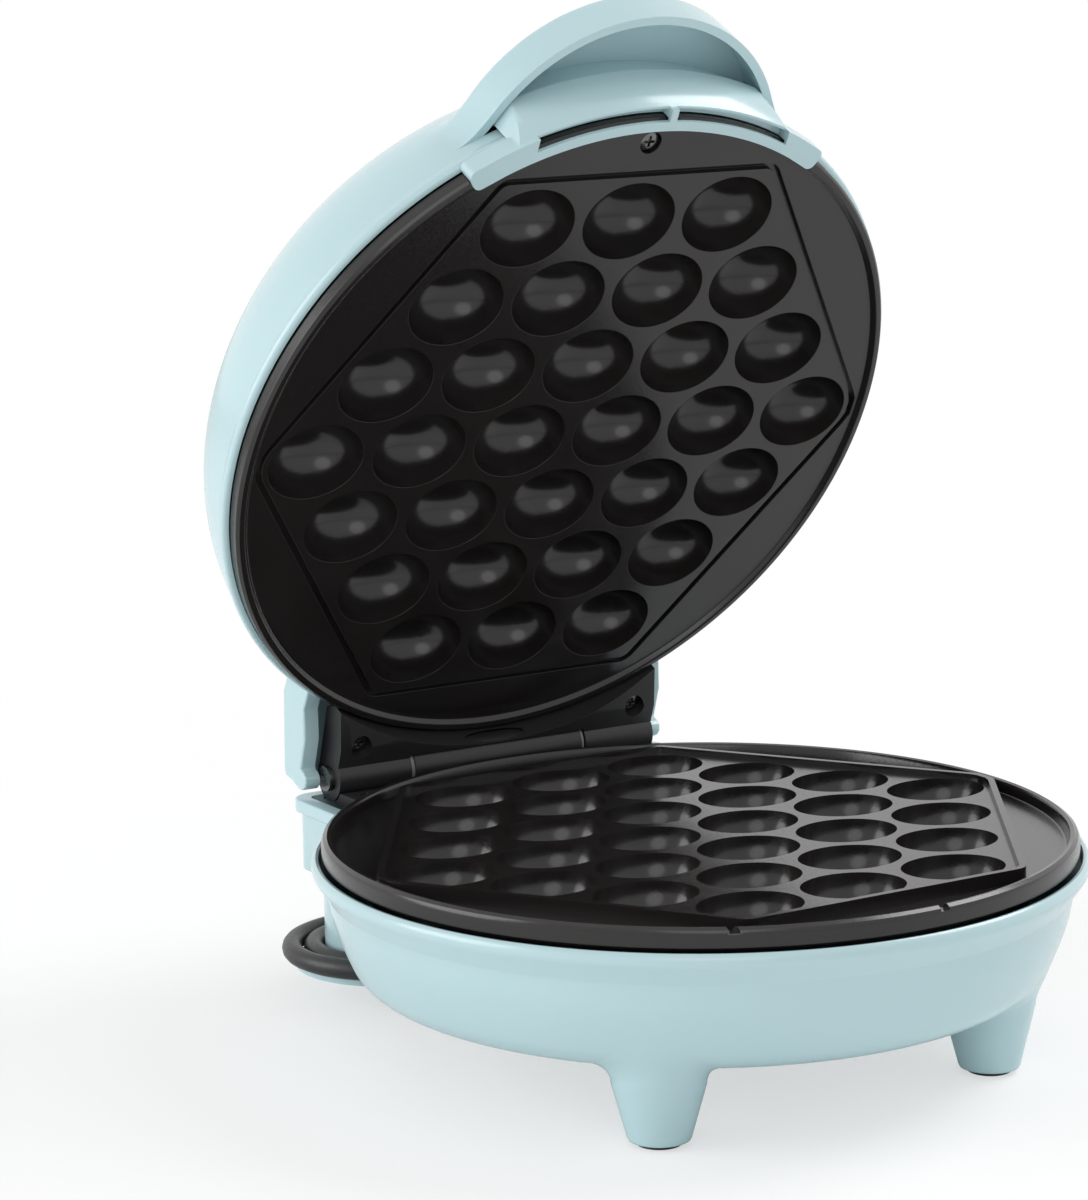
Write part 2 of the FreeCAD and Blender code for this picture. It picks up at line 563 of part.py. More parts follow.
def base_shell():
    shell = body("BaseShell")
    outer = sketch(shell, "BowlOuter", "XZ_Plane", [
        ("0", "Size.base_bottom_z"), ("0", "Size.bowl_top_z"), ("Size.bead_inner_radius", "Size.bowl_top_z"),
        ("Size.bead_radius - Size.part_gap", "Size.bowl_top_z"),
        ("Size.bead_radius", "Size.bead_high_z", "Size.bowl_wall"),
        ("Size.bead_radius", "Size.bead_low_z", "Size.bowl_wall"),
        ("Size.bowl_neck_radius", "Size.bowl_neck_z"),
        ("Size.bowl_belly_radius", "Size.bowl_belly_z"),
        ("Size.bowl_foot_radius", "Size.bowl_foot_z", "Size.bowl_belly_arc"),
        ("Size.bowl_floor_radius", "Size.base_bottom_z", "Size.bowl_heel_arc + Size.overrun"),
    ])
    revolve(shell, outer)
    outline = rounded_rear(
        "Size.tail_half_width", "Size.tail_front_y", "Size.tail_back_y", "Size.tail_corner"
    )
    tail = sketch(shell, "TailOuter", "XY_Plane", outline, "Size.tail_low_z")
    pad(shell, tail, "Size.tail_high_z - Size.tail_low_z")
    outline = rounded_rear(
        "Size.tail_half_width + Size.lip_out", "Size.tail_front_y", "Size.tail_back_y + Size.lip_out",
        "Size.tail_corner + Size.lip_out",
    )
    lip = sketch(shell, "TailLip", "XY_Plane", outline, "Size.lip_low_z")
    pad(shell, lip, "Size.tail_high_z - Size.lip_low_z")
    for name, side in (("Left", "-"), ("Right", "")):
        add_rod(
            shell, "Additive", name + "Foot", "Size.front_foot_bottom", "Size.foot_low_z",
            "Size.base_bottom_z + Size.bowl_wall", side + "Size.front_foot_x", "Size.front_foot_y",
            "Size.front_foot_top",
        )
    inner = sketch(shell, "BowlInner", "XZ_Plane", [
        ("0", "Size.base_bottom_z + Size.bowl_wall"), ("0", "Size.bowl_top_z + Size.overrun"),
        ("Size.bead_inner_radius", "Size.bowl_top_z + Size.overrun"),
        ("Size.bead_inner_radius", "Size.bead_low_z"),
        ("Size.bowl_neck_radius - Size.bowl_wall", "Size.bowl_neck_z"),
        ("Size.bowl_belly_radius - Size.bowl_wall", "Size.bowl_belly_z"),
        ("Size.bowl_foot_radius - Size.bowl_wall", "Size.bowl_foot_z + Size.part_gap", "Size.bowl_belly_arc"),
        ("Size.bowl_floor_radius", "Size.base_bottom_z + Size.bowl_wall", "Size.bowl_heel_arc"),
    ])
    revolve(shell, inner, "PartDesign::Groove")
    outline = rounded_rear(
        "Size.tail_half_width - Size.tail_wall", "Size.tail_front_y + Size.tail_wall",
        "Size.tail_back_y - Size.tail_wall", "Size.tail_corner - Size.tail_wall",
    )
    hollow = sketch(shell, "TailInner", "XY_Plane", outline, "Size.tail_low_z + Size.tail_wall")
    pocket(shell, hollow, "Size.tail_high_z")
    for turn, angle in enumerate(WALL_BOSS_ANGLES):
        across = "Size.wall_boss_place * cos(%d)" % angle
        along = "Size.wall_boss_place * sin(%d)" % angle
        base_boss(shell, "WallBoss%d" % turn, across, along)
    floor = "Size.base_bottom_z + Size.bowl_wall / 2"
    for turn, (x, y) in enumerate(around(3, -90, "Size.lower_pillar_place")):
        add_rod(
            shell, "Additive", "Pillar%d" % turn, "Size.pillar_radius", floor, "Size.lower_shield_z", x, y
        )
        low = "Size.base_bottom_z + Size.bowl_wall"
        add_rod(
            shell, "Subtractive", "PillarHole%d" % turn, "Size.screw_radius + Size.screw_gap", low,
            "Size.lower_shield_z + Size.overrun", x, y,
        )
    tail_floor = "Size.tail_low_z + Size.tail_wall / 2"
    for name, side in (("Left", "-"), ("Right", "")):
        x = side + "Size.tail_boss_x"
        y = "Size.tail_boss_y"
        add_rod(
            shell, "Additive", name + "Boss", "Size.tail_boss_radius", tail_floor, "Size.bracket_low_z", x,
            y,
        )
        low = "Size.bracket_low_z - Size.short_screw"
        high = "Size.bracket_low_z + Size.overrun"
        add_rod(
            shell, "Subtractive", name + "BossHole", "Size.screw_radius + Size.screw_gap", low, high, x, y
        )
        x = side + "Size.spool_screw_x"
        y = "Size.spool_screw_y"
        high = "Size.spool_boss_high_z"
        add_rod(shell, "Additive", name + "SpoolBoss", "Size.tail_boss_radius", tail_floor, high, x, y)
        high = "Size.spool_boss_high_z - Size.bowl_wall"
        add_rod(
            shell, "Subtractive", name + "SpoolHole", "Size.screw_radius + Size.screw_gap",
            "Size.flange_low_z", high, x, y,
        )
        x = side + "Size.front_foot_x"
        y = "Size.front_foot_y"
        pad_top = "Size.pad_thick"
        add_rod(shell, "Subtractive", name + "PadSeat", "Size.pad_radius + Size.pad_gap", "0", pad_top, x, y)
    seat(shell, "base_shell")


def base_boss(shell, name, x, y):
    high = "Size.lower_flat_z - Size.plate_thick"
    add_rod(shell, "Additive", name, "Size.wall_boss_radius", "Size.wall_boss_low_z", high, x, y)
    low = "Size.wall_boss_low_z + Size.bowl_wall"
    top = high + " + Size.overrun"
    add_rod(shell, "Subtractive", name + "Hole", "Size.screw_radius + Size.screw_gap", low, top, x, y)


def cord_spool():
    spool = body("CordSpool")
    flange = sketch(
        spool, "Flange", "XY_Plane", stadium("Size.spool_half", "Size.spool_y", "Size.flange_radius"),
        "Size.flange_low_z",
    )
    pad(spool, flange, "Size.flange_thick")
    hub = sketch(
        spool, "Hub", "XY_Plane", stadium("Size.spool_half", "Size.spool_y", "Size.hub_radius"),
        "Size.flange_low_z",
    )
    pad(spool, hub, "Size.tail_low_z - Size.flange_low_z")
    for name, side in (("Left", "-"), ("Right", "")):
        add_rod(
            spool, "Additive", name + "RearFoot", "Size.rear_foot_radius", "Size.foot_low_z",
            "Size.flange_low_z + Size.flange_thick", side + "Size.rear_foot_x", "Size.rear_foot_y",
        )
    add_rod(
        spool, "Subtractive", "BowlClear", "Size.bowl_belly_radius + Size.part_gap", "Size.hub_arch_z",
        "Size.tail_low_z + Size.overrun",
    )
    inner = sketch(
        spool, "HubInner", "XY_Plane",
        stadium("Size.spool_half", "Size.spool_y", "Size.hub_radius - Size.hub_wall"),
        "Size.flange_low_z + Size.flange_thick",
    )
    pocket(spool, inner, "Size.tail_low_z")
    for name, side in (("Left", "-"), ("Right", "")):
        x = side + "Size.spool_screw_x"
        y = "Size.spool_screw_y"
        add_rod(
            spool, "Additive", name + "Post", "Size.tail_boss_radius", "Size.flange_low_z",
            "Size.tail_low_z", x, y,
        )
        add_rod(
            spool, "Subtractive", name + "PostHole", "Size.screw_radius + Size.screw_gap", "0",
            "Size.tail_low_z + Size.overrun", x, y,
        )
        sink = "Size.flange_low_z + Size.head_height + Size.head_sink"
        add_rod(
            spool, "Subtractive", name + "PostSink", "Size.head_radius + Size.screw_gap * 3", "0", sink, x,
            y,
        )
        x = side + "Size.rear_foot_x"
        y = "Size.rear_foot_y"
        add_rod(
            spool, "Subtractive", name + "PadSeat", "Size.pad_radius + Size.pad_gap", "0", "Size.pad_thick",
            x, y,
        )
    hole = spool.newObject("PartDesign::SubtractiveCylinder", "BushingHole")
    bind(hole, Radius="Size.bushing_radius", Height="Size.hub_wall + Size.overrun")
    hole.Placement = FreeCAD.Placement(Vector(), FreeCAD.Rotation(Vector(1, 0, 0), -90))
    place(
        hole, "Size.bushing_x", "Size.spool_y + Size.hub_radius - Size.hub_wall - Size.overrun / 2",
        "Size.bushing_z",
    )
    seat(spool, "cord_spool")
    screws = []
    for name, x in (("SpoolScrewLeft", "-Size.spool_screw_x"), ("SpoolScrewRight", "Size.spool_screw_x")):
        head = "Size.flange_low_z + Size.head_sink"
        length = "Size.tail_low_z - Size.flange_low_z + Size.tail_wall"
        screws.append(screw(name, x, "Size.spool_screw_y", head, length, False))
    seat(group("SpoolScrews", screws), "spool_screws")


def foot_pads():
    pads = []
    for name, x, y in (("Front", "front_foot_x", "front_foot_y"), ("Rear", "rear_foot_x", "rear_foot_y")):
        for side in ("-", ""):
            label = name + ("Left" if side else "Right") + "Pad"
            pads.append(rod(label, "Size.pad_radius", "0", "Size.pad_thick", side + "Size." + x, "Size." + y))
    seat(group("FootPads", pads), "foot_pads")


def heat_shields():
    hole_radius = "Size.screw_radius + Size.screw_gap"
    low = "Size.lower_shield_z"
    lower = rod("LowerShieldDisc", "Size.lower_shield_radius", low, "Size.lower_shield_z + Size.shield_thick")
    holes = []
    screws = []
    for turn, (x, y) in enumerate(around(3, -90, "Size.lower_pillar_place")):
        top = "Size.lower_shield_z + Size.shield_thick + Size.overrun"
        low = "Size.lower_shield_z - Size.overrun"
        holes.append(rod("LowerShieldHole%d" % turn, hole_radius, low, top, x, y))
        head = "Size.lower_shield_z + Size.shield_thick + Size.head_height"
        screws.append(screw("LowerShieldScrew%d" % turn, x, y, head, "Size.bowl_wall"))
    seat(cut("LowerShield", lower, holes), "lower_heat_shield")
    seat(group("LowerShieldScrews", screws), "lower_shield_screws")
    disc = rod(
        "UpperShieldDisc", "Size.upper_shield_radius", "Size.upper_shield_z - Size.shield_thick",
        "Size.upper_shield_z",
    )
    holes = []
    screws = []
    for turn, (x, y) in enumerate(around(3, -90, "Size.upper_pillar_place")):
        low = "Size.upper_shield_z - Size.overrun"
        top = "Size.upper_shield_z + Size.overrun"
        holes.append(rod("UpperShieldHole%d" % turn, hole_radius, low, top, x, y))
        head = "Size.upper_shield_z - Size.shield_thick - Size.head_height"
        screws.append(screw("UpperShieldScrew%d" % turn, x, y, head, "Size.short_screw", False))
    seat(cut("UpperShield", disc, holes), "upper_heat_shield", True)
    seat(group("UpperShieldScrews", screws), "upper_shield_screws", True)


# Hinge

def hinge():
    slab = block(
        "BracketSlab", both("Size.hinge_half"), ("Size.bracket_front_y", "Size.bracket_back_y"),
        ("Size.bracket_low_z", "Size.bracket_low_z + Size.bracket_thick"),
    )
    knuckle = bar("BaseKnuckle", "Size.barrel_radius", *both("Size.knuckle_half"))
    web = block(
        "BaseWeb", both("Size.knuckle_half"), ("Size.hinge_y - Size.barrel_radius * 0.9", "Size.hinge_y"),
        ("Size.bracket_low_z", "Size.hinge_z"),
    )
    tools = [rod(
        "PlateClear", "Size.lower_plate_radius + Size.bracket_plate_gap", "Size.bracket_low_z - Size.overrun",
        "Size.hinge_z + Size.overrun",
    )]
    tools.append(bar("BaseBore", "Size.pin_radius + Size.pin_gap", *both("Size.hinge_half")))
    screws = []
    for name, side in (("Left", "-"), ("Right", "")):
        ends = ("Size.knuckle_half", "Size.hinge_half + Size.overrun")
        ends = ends if not side else ("-(%s)" % ends[1], "-" + ends[0])
        tools.append(bar(name + "LidKnuckleClear", "Size.barrel_radius + Size.part_gap", *ends))
        x = side + "Size.tail_boss_x"
        low = "Size.bracket_low_z - Size.overrun"
        high = "Size.bracket_low_z + Size.bracket_thick + Size.overrun"
        y = "Size.tail_boss_y"
        tools.append(rod(name + "BracketHole", "Size.screw_radius + Size.screw_gap", low, high, x, y))
        sink = "Size.bracket_low_z + Size.bracket_thick - Size.head_height"
        tools.append(rod(name + "BracketSink", "Size.head_radius + Size.screw_gap", sink, high, x, y))
        head = "Size.bracket_low_z + Size.bracket_thick"
        screws.append(screw(name + "BracketScrew", x, y, head, "(Size.short_screw - Size.head_height)"))
    seat(cut("HingeBracket", join("BracketSolid", [slab, knuckle, web]), tools), "hinge_bracket")
    seat(group("BracketScrews", screws), "bracket_screws")
    shank = bar("PinShank", "Size.pin_radius", *both("Size.hinge_half"))
    heads = [
        bar(
            "PinHeadLeft", "Size.pin_head_radius", "-Size.hinge_half - Size.pin_head_thick",
            "-Size.hinge_half",
        ),
        bar(
            "PinHeadRight", "Size.pin_head_radius", "Size.hinge_half",
            "Size.hinge_half + Size.pin_head_thick",
        ),
    ]
    seat(join("HingePin", [shank] + heads), "hinge_pin")
    washers = []
    for name, side in (("WasherLeft", "-"), ("WasherRight", "")):
        ends = ("Size.knuckle_half", "Size.knuckle_half + Size.washer_thick")
        ends = ends if not side else ("-(%s)" % ends[1], "-" + ends[0])
        disc = bar(name + "Disc", "Size.barrel_radius - Size.part_gap", *ends)
        washers.append(cut(name, disc, [bar(name + "Bore", "Size.pin_radius + Size.pin_gap", *ends)]))
    seat(group("FrictionWashers", washers), "friction_washers")


def lid_hinge_frame():
    frame = body("LidHingeFrame")
    side = sketch(frame, "FrameSide", "YZ_Plane", [
        ("Size.frame_front_y", "Size.frame_front_z"),
        ("Size.frame_crest_y", "Size.frame_crest_z"),
        ("Size.hinge_y - Size.part_gap", "Size.hinge_z + Size.barrel_radius - Size.part_gap / 4"),
        ("Size.hinge_y", "Size.hinge_z"),
        ("Size.hinge_y - Size.barrel_radius * 0.8", "Size.hinge_z - Size.barrel_radius * 0.5"),
        ("Size.frame_heel_y", "Size.frame_heel_z"),
    ])
    slab = pad(frame, side, "Size.hinge_half * 2")
    slab.Midplane = True
    barrel = frame.newObject("PartDesign::AdditiveCylinder", "LidBarrel")
    bind(barrel, Radius="Size.barrel_radius", Height="Size.hinge_half * 2")
    barrel.Placement = FreeCAD.Placement(Vector(), FreeCAD.Rotation(Vector(0, 1, 0), 90))
    place(barrel, "-Size.hinge_half", "Size.hinge_y", "Size.hinge_z")
    for name, sign in (("Left", "-"), ("Right", "")):
        x = sign + "Size.tail_boss_x"
        y = "Size.tail_boss_y"
        add_rod(
            frame, "Additive", name + "Pad", "Size.tail_boss_radius", "Size.frame_screw_z",
            "Size.frame_pad_z", x, y,
        )
        add_rod(
            frame, "Subtractive", name + "Seat", "Size.tail_boss_radius + Size.running_gap",
            "Size.frame_pad_z", "Size.frame_crest_z + Size.overrun", x, y,
        )
    clear = "Size.knuckle_half + Size.washer_thick + Size.running_gap"
    gap = frame.newObject("PartDesign::SubtractiveCylinder", "KnuckleClear")
    bind(gap, Radius="Size.barrel_radius + Size.part_gap", Height="(%s) * 2" % clear)
    gap.Placement = FreeCAD.Placement(Vector(), FreeCAD.Rotation(Vector(0, 1, 0), 90))
    place(gap, "-(%s)" % clear, "Size.hinge_y", "Size.hinge_z")
    bore = frame.newObject("PartDesign::SubtractiveCylinder", "PinBore")
    bind(bore, Radius="Size.pin_radius + Size.pin_gap", Height="(Size.hinge_half + Size.overrun) * 2")
    bore.Placement = FreeCAD.Placement(Vector(), FreeCAD.Rotation(Vector(0, 1, 0), 90))
    place(bore, "-(Size.hinge_half + Size.overrun)", "Size.hinge_y", "Size.hinge_z")
    add_rod(
        frame, "Subtractive", "UpperPlateClear", "Size.upper_plate_radius + Size.bracket_plate_gap",
        "Size.frame_heel_z - Size.overrun", "Size.frame_crest_z + Size.overrun",
    )
    screws = []
    for name, sign in (("Left", "-"), ("Right", "")):
        x = sign + "Size.tail_boss_x"
        y = "Size.tail_boss_y"
        sink_low = "Size.frame_heel_z - Size.overrun"
        high = "Size.frame_pad_z + Size.overrun"
        add_rod(
            frame, "Subtractive", name + "Sink", "Size.head_radius + Size.screw_gap * 3", sink_low,
            "Size.frame_screw_z + Size.head_height", x, y,
        )
        add_rod(
            frame, "Subtractive", name + "Hole", "Size.screw_radius + Size.screw_gap", sink_low, high, x, y
        )
        screws.append(screw(name + "FrameScrew", x, y, "Size.frame_screw_z", "Size.short_screw", False))
    seat(frame, "lid_hinge_frame", True)
    seat(group("FrameScrews", screws), "frame_screws", True)


# Lid

def dome(inset, low):
    """The domed lid as a solid: a superelliptic outline turned about Z, smaller by inset all round."""
    dome_power = 2.34
    radius = size("dome_radius") - inset
    height = size("dome_height") - inset
    base = size("lid_rim_z")
    steps = 12
    points = []
    for k in range(steps + 1):
        angle = math.pi / 2 * k / steps
        r = radius * math.cos(angle) ** (2 / dome_power)
        z = height * math.sin(angle) ** (2 / dome_power)
        points.append(Vector(max(r, 0), 0, base + z))
    curve = Part.BSplineCurve()
    curve.interpolate(points, InitialTangent=Vector(0, 0, 1), FinalTangent=Vector(-1, 0, 0))
    corners = [(0, base + height), (0, low), (radius, low), (radius, base)]
    side = Part.makePolygon([Vector(r, 0, z) for r, z in corners])
    outline = Part.Wire(side.Edges + [curve.toShape()])
    return Part.Face(outline).revolve(Vector(), Vector(0, 0, 1), 360)


def prism(points, half_width):
    """A solid between -half_width and half_width from a side outline of (y, z)."""
    outline = Part.makePolygon([Vector(-half_width, y, z) for y, z in points + points[:1]])
    return Part.Face(outline).extrude(Vector(2 * half_width, 0, 0))


def lid_tail_solid():
    points = [
        (size("lid_tail_in_y"), size("lid_tail_low_z")),
        (size("lid_tail_low_y"), size("lid_tail_low_z")),
        (size("lid_tail_bend_y"), size("lid_tail_bend_z")),
        (size("lid_tail_heel_y"), size("lid_tail_heel_z")),
        (size("lid_tail_heel_y"), size("lid_tail_bead_z") + size("roof_thick") / 2),
        (size("lid_tail_bead_y"), size("lid_tail_bead_z")),
        (size("lid_tail_rear_y"), size("lid_tail_bead_z") + size("roof_thick") / 2),
        (size("lid_tail_rear_y"), size("lid_tail_rear_z")),
        (size("lid_tail_back_y"), size("lid_tail_back_z")),
        (size("lid_tail_top_y"), size("lid_tail_top_z")),
        (size("lid_tail_in_y"), size("lid_tail_top_z")),
    ]
    return prism(points, size("lid_tail_half_width"))


def lid_tail_hollow():
    thick = size("roof_thick")
    low = size("lid_tail_bead_z") - size("overrun")
    points = [
        (size("lid_tail_in_y") - size("overrun"), low),
        (size("lid_tail_rear_y") + size("overrun"), low),
        (size("lid_tail_rear_y") + size("overrun"), size("lid_tail_rear_z")),
        (size("lid_tail_back_y") - thick, size("lid_tail_rear_z")),
        (size("lid_tail_back_y") - thick, size("lid_tail_back_z") - thick / 2),
        (size("lid_tail_top_y"), size("lid_tail_top_z") - thick * 1.2),
        (size("lid_tail_in_y") - size("overrun"), size("lid_tail_top_z") - thick * 1.2),
    ]
    return prism(points, size("lid_tail_half_width") - size("lid_tail_wall"))


def visor_solid(inset, low, high, edge):
    """The visor's round block, with its upper rim rounded by edge."""
    solid = Part.makeCylinder(size("visor_radius") - inset, high - low, Vector(0, size("visor_y"), low))
    if not edge:
        return solid
    near = size("screw_gap")
    rims = [e for e in solid.Edges if abs(e.BoundBox.ZMin - high) < near and e.BoundBox.ZLength < near]
    return solid.makeFillet(edge, rims)


def lid_shell():
    rim = size("lid_rim_z")
    outer = dome(0, rim)
    bead = ring(
        size("dome_radius") - size("lid_wall"), size("lid_rim_radius"), rim, rim + size("lid_rim_height")
    )
    visor = visor_solid(0, size("visor_low_z"), size("visor_high_z"), size("visor_edge"))
    solid = outer.multiFuse([bead, visor, lid_tail_solid()])
    inner = dome(size("lid_wall"), rim - size("overrun"))
    pocket_space = visor_solid(
        size("visor_wall"), size("visor_low_z") - size("overrun"), size("pocket_high_z"), 0
    )
    pocket_space = pocket_space.cut(dome(0, rim - size("overrun")))
    solid = solid.cut(Part.makeCompound([inner])).cut(pocket_space).cut(lid_tail_hollow())
    posts = []
    holes = []
    screw_hole = size("screw_radius") + size("screw_gap")
    back = size("upper_flat_z") + size("plate_thick")
    for angle in WALL_BOSS_ANGLES:
        at = Vector(0, 0, back)
        at.x = size("wall_boss_place") * math.cos(math.radians(angle))
        at.y = size("wall_boss_place") * math.sin(math.radians(angle))
        posts.append(Part.makeCylinder(size("lid_post_radius"), size("dome_height"), at))
        holes.append(Part.makeCylinder(screw_hole, size("short_screw") + size("overrun"), at))
    for angle in (-90, 30, 150):
        at = Vector(0, 0, size("upper_shield_z"))
        at.x = size("upper_pillar_place") * math.cos(math.radians(angle))
        at.y = size("upper_pillar_place") * math.sin(math.radians(angle))
        posts.append(Part.makeCylinder(size("pillar_radius"), size("dome_height"), at))
        holes.append(Part.makeCylinder(screw_hole, size("short_screw") + size("overrun"), at))
    posts = [post.common(outer) for post in posts]
    for side in (-1, 1):
        at = Vector(side * size("tail_boss_x"), size("tail_boss_y"), size("frame_pad_z"))
        post = Part.makeCylinder(size("tail_boss_radius"), size("dome_height"), at)
        posts.append(post.common(lid_tail_solid().fuse(outer)))
        holes.append(Part.makeCylinder(screw_hole, size("short_screw"), at))
    solid = solid.multiFuse(posts).cut(Part.makeCompound(holes)).removeSplitter()
    seat(drawn("LidShell", solid), "lid_shell", True)


def handle_grip():
    """The moulding behind the finger pocket: a ribbed slot over the plate's rim, and the pocket's wall."""
    low = size("grip_low_z")
    gap = size("running_gap")
    rim = size("lid_rim_z")
    plate = size("upper_plate_radius") + gap
    lip_top = low + size("grip_lip")
    foot = turned([
        (size("grip_inner_radius"), low), (size("grip_outer_radius"), low), (
            size("grip_outer_radius"), rim - gap
        ),
        (plate, rim - gap), (plate, lip_top), (size("grip_inner_radius"), lip_top),
    ])
    half = size("grip_half_length")
    reach = size("dome_radius") + size("visor_radius")
    sector = Part.makeBox(2 * half, reach, size("dome_height"), Vector(-half, -reach, low))
    foot = foot.common(sector)
    bead = size("lid_rim_radius") + gap
    wall = turned([
        (bead, rim - gap), (size("grip_outer_radius"), rim - gap), (
            size("grip_wall_radius"), size("visor_low_z")
        ),
        (size("grip_wall_radius"), size("pocket_high_z")), (bead, size("pocket_high_z")),
    ])
    wall = wall.common(visor_solid(size("visor_wall") + gap, low, size("pocket_high_z"), 0))
    wall = wall.cut(dome(-gap, rim))
    slot = ring(
        size("grip_slot_inner"), size("grip_slot_outer"), low - size("overrun"), size("grip_slot_high_z")
    )
    slot = slot.common(Part.makeBox(
        2 * size("grip_slot_half"), reach, size("dome_height"), Vector(
            -size("grip_slot_half"), -reach, low - size("overrun")
        )
    ))
    rib_shares = (-0.75, 0.06, 0.85)
    ribs = [
        Part.makeBox(
            size("grip_rib"), reach, size("dome_height"),
            Vector(share * size("grip_slot_half") - size("grip_rib") / 2, -reach, low - size("overrun")),
        )
        for share in rib_shares
    ]
    slot = slot.cut(Part.makeCompound(ribs))
    solid = foot.fuse(wall).cut(slot).removeSplitter()
    seat(drawn("HandleGrip", solid), "handle_grip", True)


# Wiring

def electrics():
    body_low = "%s - Size.thermostat_height" % THERMOSTAT_TOP
    can = rod("ThermostatCan", "Size.thermostat_radius", body_low, THERMOSTAT_TOP)
    blades = []
    for name, side in (("Left", "-"), ("Right", "")):
        x = (
            "%sSize.blade_apart / 2 - Size.blade_thick / 2" % side,
            "%sSize.blade_apart / 2 + Size.blade_thick / 2" % side,
        )
        z = ("%s - Size.blade_length" % body_low, body_low)
        blades.append(block(name + "Blade", x, both("Size.blade_width / 2"), z))
    seat(join("Thermostat", [can] + blades), "thermostat")
    fuse = Part.makeCylinder(size("fuse_radius"), size("fuse_length"), fuse_front(), Vector(0, 1, 0))
    seat(drawn("ThermalFuse", fuse), "thermal_fuse")
    floor = "Size.tail_low_z + Size.tail_wall"
    terminal = block(
        "TerminalBody", both("Size.block_half"), ("Size.block_front_y", "Size.block_back_y"),
        (floor, floor + " + Size.block_height"),
    )
    seat(group("TerminalBlock", [terminal]), "terminal_block")
    seat(drawn("BaseWiring", Part.makeCompound(base_wires())), "base_wiring")
    seat(drawn("LidWiring", Part.makeCompound(lid_wires())), "lid_wiring", True)


THERMOSTAT_TOP = (
    "Size.lower_flat_z + Size.plateau_rise - Size.well_half_width - Size.well_wall - Size.heater_sink"
)


def fuse_front():
    z = size("lower_shield_z") + size("shield_thick") + size("fuse_radius") + size("screw_gap")
    return Vector(size("fuse_x"), size("fuse_y"), z)


def wire(*points):
    return tube(list(points), size("wire_radius"))[0]


def base_wires():
    """Leads from the block to the heater, the thermostat and the fuse, and two stubs for the lid's leads."""
    front = size("block_front_y")
    floor = size("tail_low_z") + size("tail_wall")
    block_z = floor + size("block_height") / 2
    duct_z = fuse_front().z
    wire_radius = size("wire_radius")
    solids = []
    apart = size("block_half") / 4
    duct_y = size("tail_front_y")
    rise_y = (duct_y + front) / 2
    for side, lane in ((1, 3), (-1, -3)):
        pin = cold_pin_end(side, -1)
        x = lane * apart
        turn = Vector(pin.x, pin.y, duct_z)
        solids.append(wire(
            pin, turn, Vector((pin.x + x) / 2, duct_y, duct_z + wire_radius),
            Vector(x, rise_y + wire_radius, block_z - wire_radius), Vector(x, front, block_z),
        ))
    blade = size("blade_apart") / 2
    blade_y = size("blade_width") / 2
    blade_z = heater_level(-1) - size("thermostat_height") - size("blade_length") + wire_radius
    fuse = fuse_front()
    solids.append(wire(
        Vector(-blade, blade_y, blade_z), Vector(-blade, blade_y * 3, blade_z),
        Vector(fuse.x, fuse.y - size("fuse_length") / 2, duct_z), fuse,
    ))
    back = fuse + Vector(0, size("fuse_length"), 0)
    solids.append(wire(
        back, Vector(fuse.x, duct_y, duct_z), Vector(-apart, rise_y + wire_radius, block_z - wire_radius),
        Vector(-apart, front, block_z),
    ))
    solids.append(wire(
        Vector(blade, blade_y, blade_z), Vector(blade, blade_y * 3, blade_z),
        Vector(blade + apart, duct_y, duct_z), Vector(apart, rise_y + wire_radius, block_z - wire_radius),
        Vector(apart, front, block_z),
    ))
    top = floor + size("block_height")
    middle = (front + size("block_back_y")) / 2
    for side in (-1, 1):
        at = Vector(side * size("block_half") / 2, middle, top)
        solids.append(Part.makeCylinder(wire_radius, size("bracket_low_z") - top, at))
    return solids


def lid_wires():
    """The upper heater's leads, from its cold pins to the hinge frame's top."""
    solids = []
    for side in (1, -1):
        pin = cold_pin_end(side, 1)
        x = side * size("block_half") / 2
        high = pin.z + size("wire_radius") * 3
        low_z = frame_top(size("tail_boss_y") + size("overrun"))
        end = Vector(x, size("tail_boss_y") + size("overrun"), low_z)
        solids.append(wire(
            pin, Vector(pin.x, pin.y, high),
            Vector((pin.x + x) / 2, size("tail_front_y"), pin.z - size("wire_radius") * 6),
            Vector(x, end.y, low_z + size("overrun")), end,
        ))
    return solids


def frame_top(y):
    """The height of the hinge frame's sloping top at y."""
    crest = (size("frame_crest_y"), size("frame_crest_z"))
    crown = (
        size("hinge_y") - size("part_gap"), size("hinge_z") + size("barrel_radius") - size("part_gap") / 4
    )
    share = (y - crest[0]) / (crown[0] - crest[0])
    return crest[1] + share * (crown[1] - crest[1])


# Cord

def cord_bushing():
    wall_y = size("spool_y") + size("hub_radius")
    start = Vector(size("bushing_x"), wall_y - size("hub_wall"), size("bushing_z"))
    out = Vector(0, 1, 0)
    sleeve = Part.makeCylinder(size("bushing_radius"), size("hub_wall") + size("bushing_length"), start, out)
    collar = Part.makeCylinder(
        size("bushing_flange"), size("bushing_flange_thick"), Vector(start.x, wall_y, start.z), out
    )
    seat(drawn("CordBushing", sleeve.fuse(collar).removeSplitter()), "cord_bushing")


# The lead from the bushing to the winding: chosen points, in mm.
LEAD_POINTS = [
    (24.0, 110.5, 27.0), (24.0, 121.5, 27.0), (18.0, 132.5, 25.8), (6.5, 134.0, 24.4), (-2.5, 123.5, 22.6),
    (-10.0, 114.0, 20.2), (-18.8, 109.8, 16.3), (-27.0, 109.45, 13.1), (-35.0, 109.45, 13.1),
]

# The cord from the winding to the plug behind the object: chosen points, in mm.
END_POINTS = [
    (65.85, 96.0, 13.1), (65.85, 110.0, 13.1), (69.5, 124.5, 11.2), (69.0, 140.0, 9.4), (58.0, 151.0, 8.7),
    (43.0, 151.0, 8.7),
]


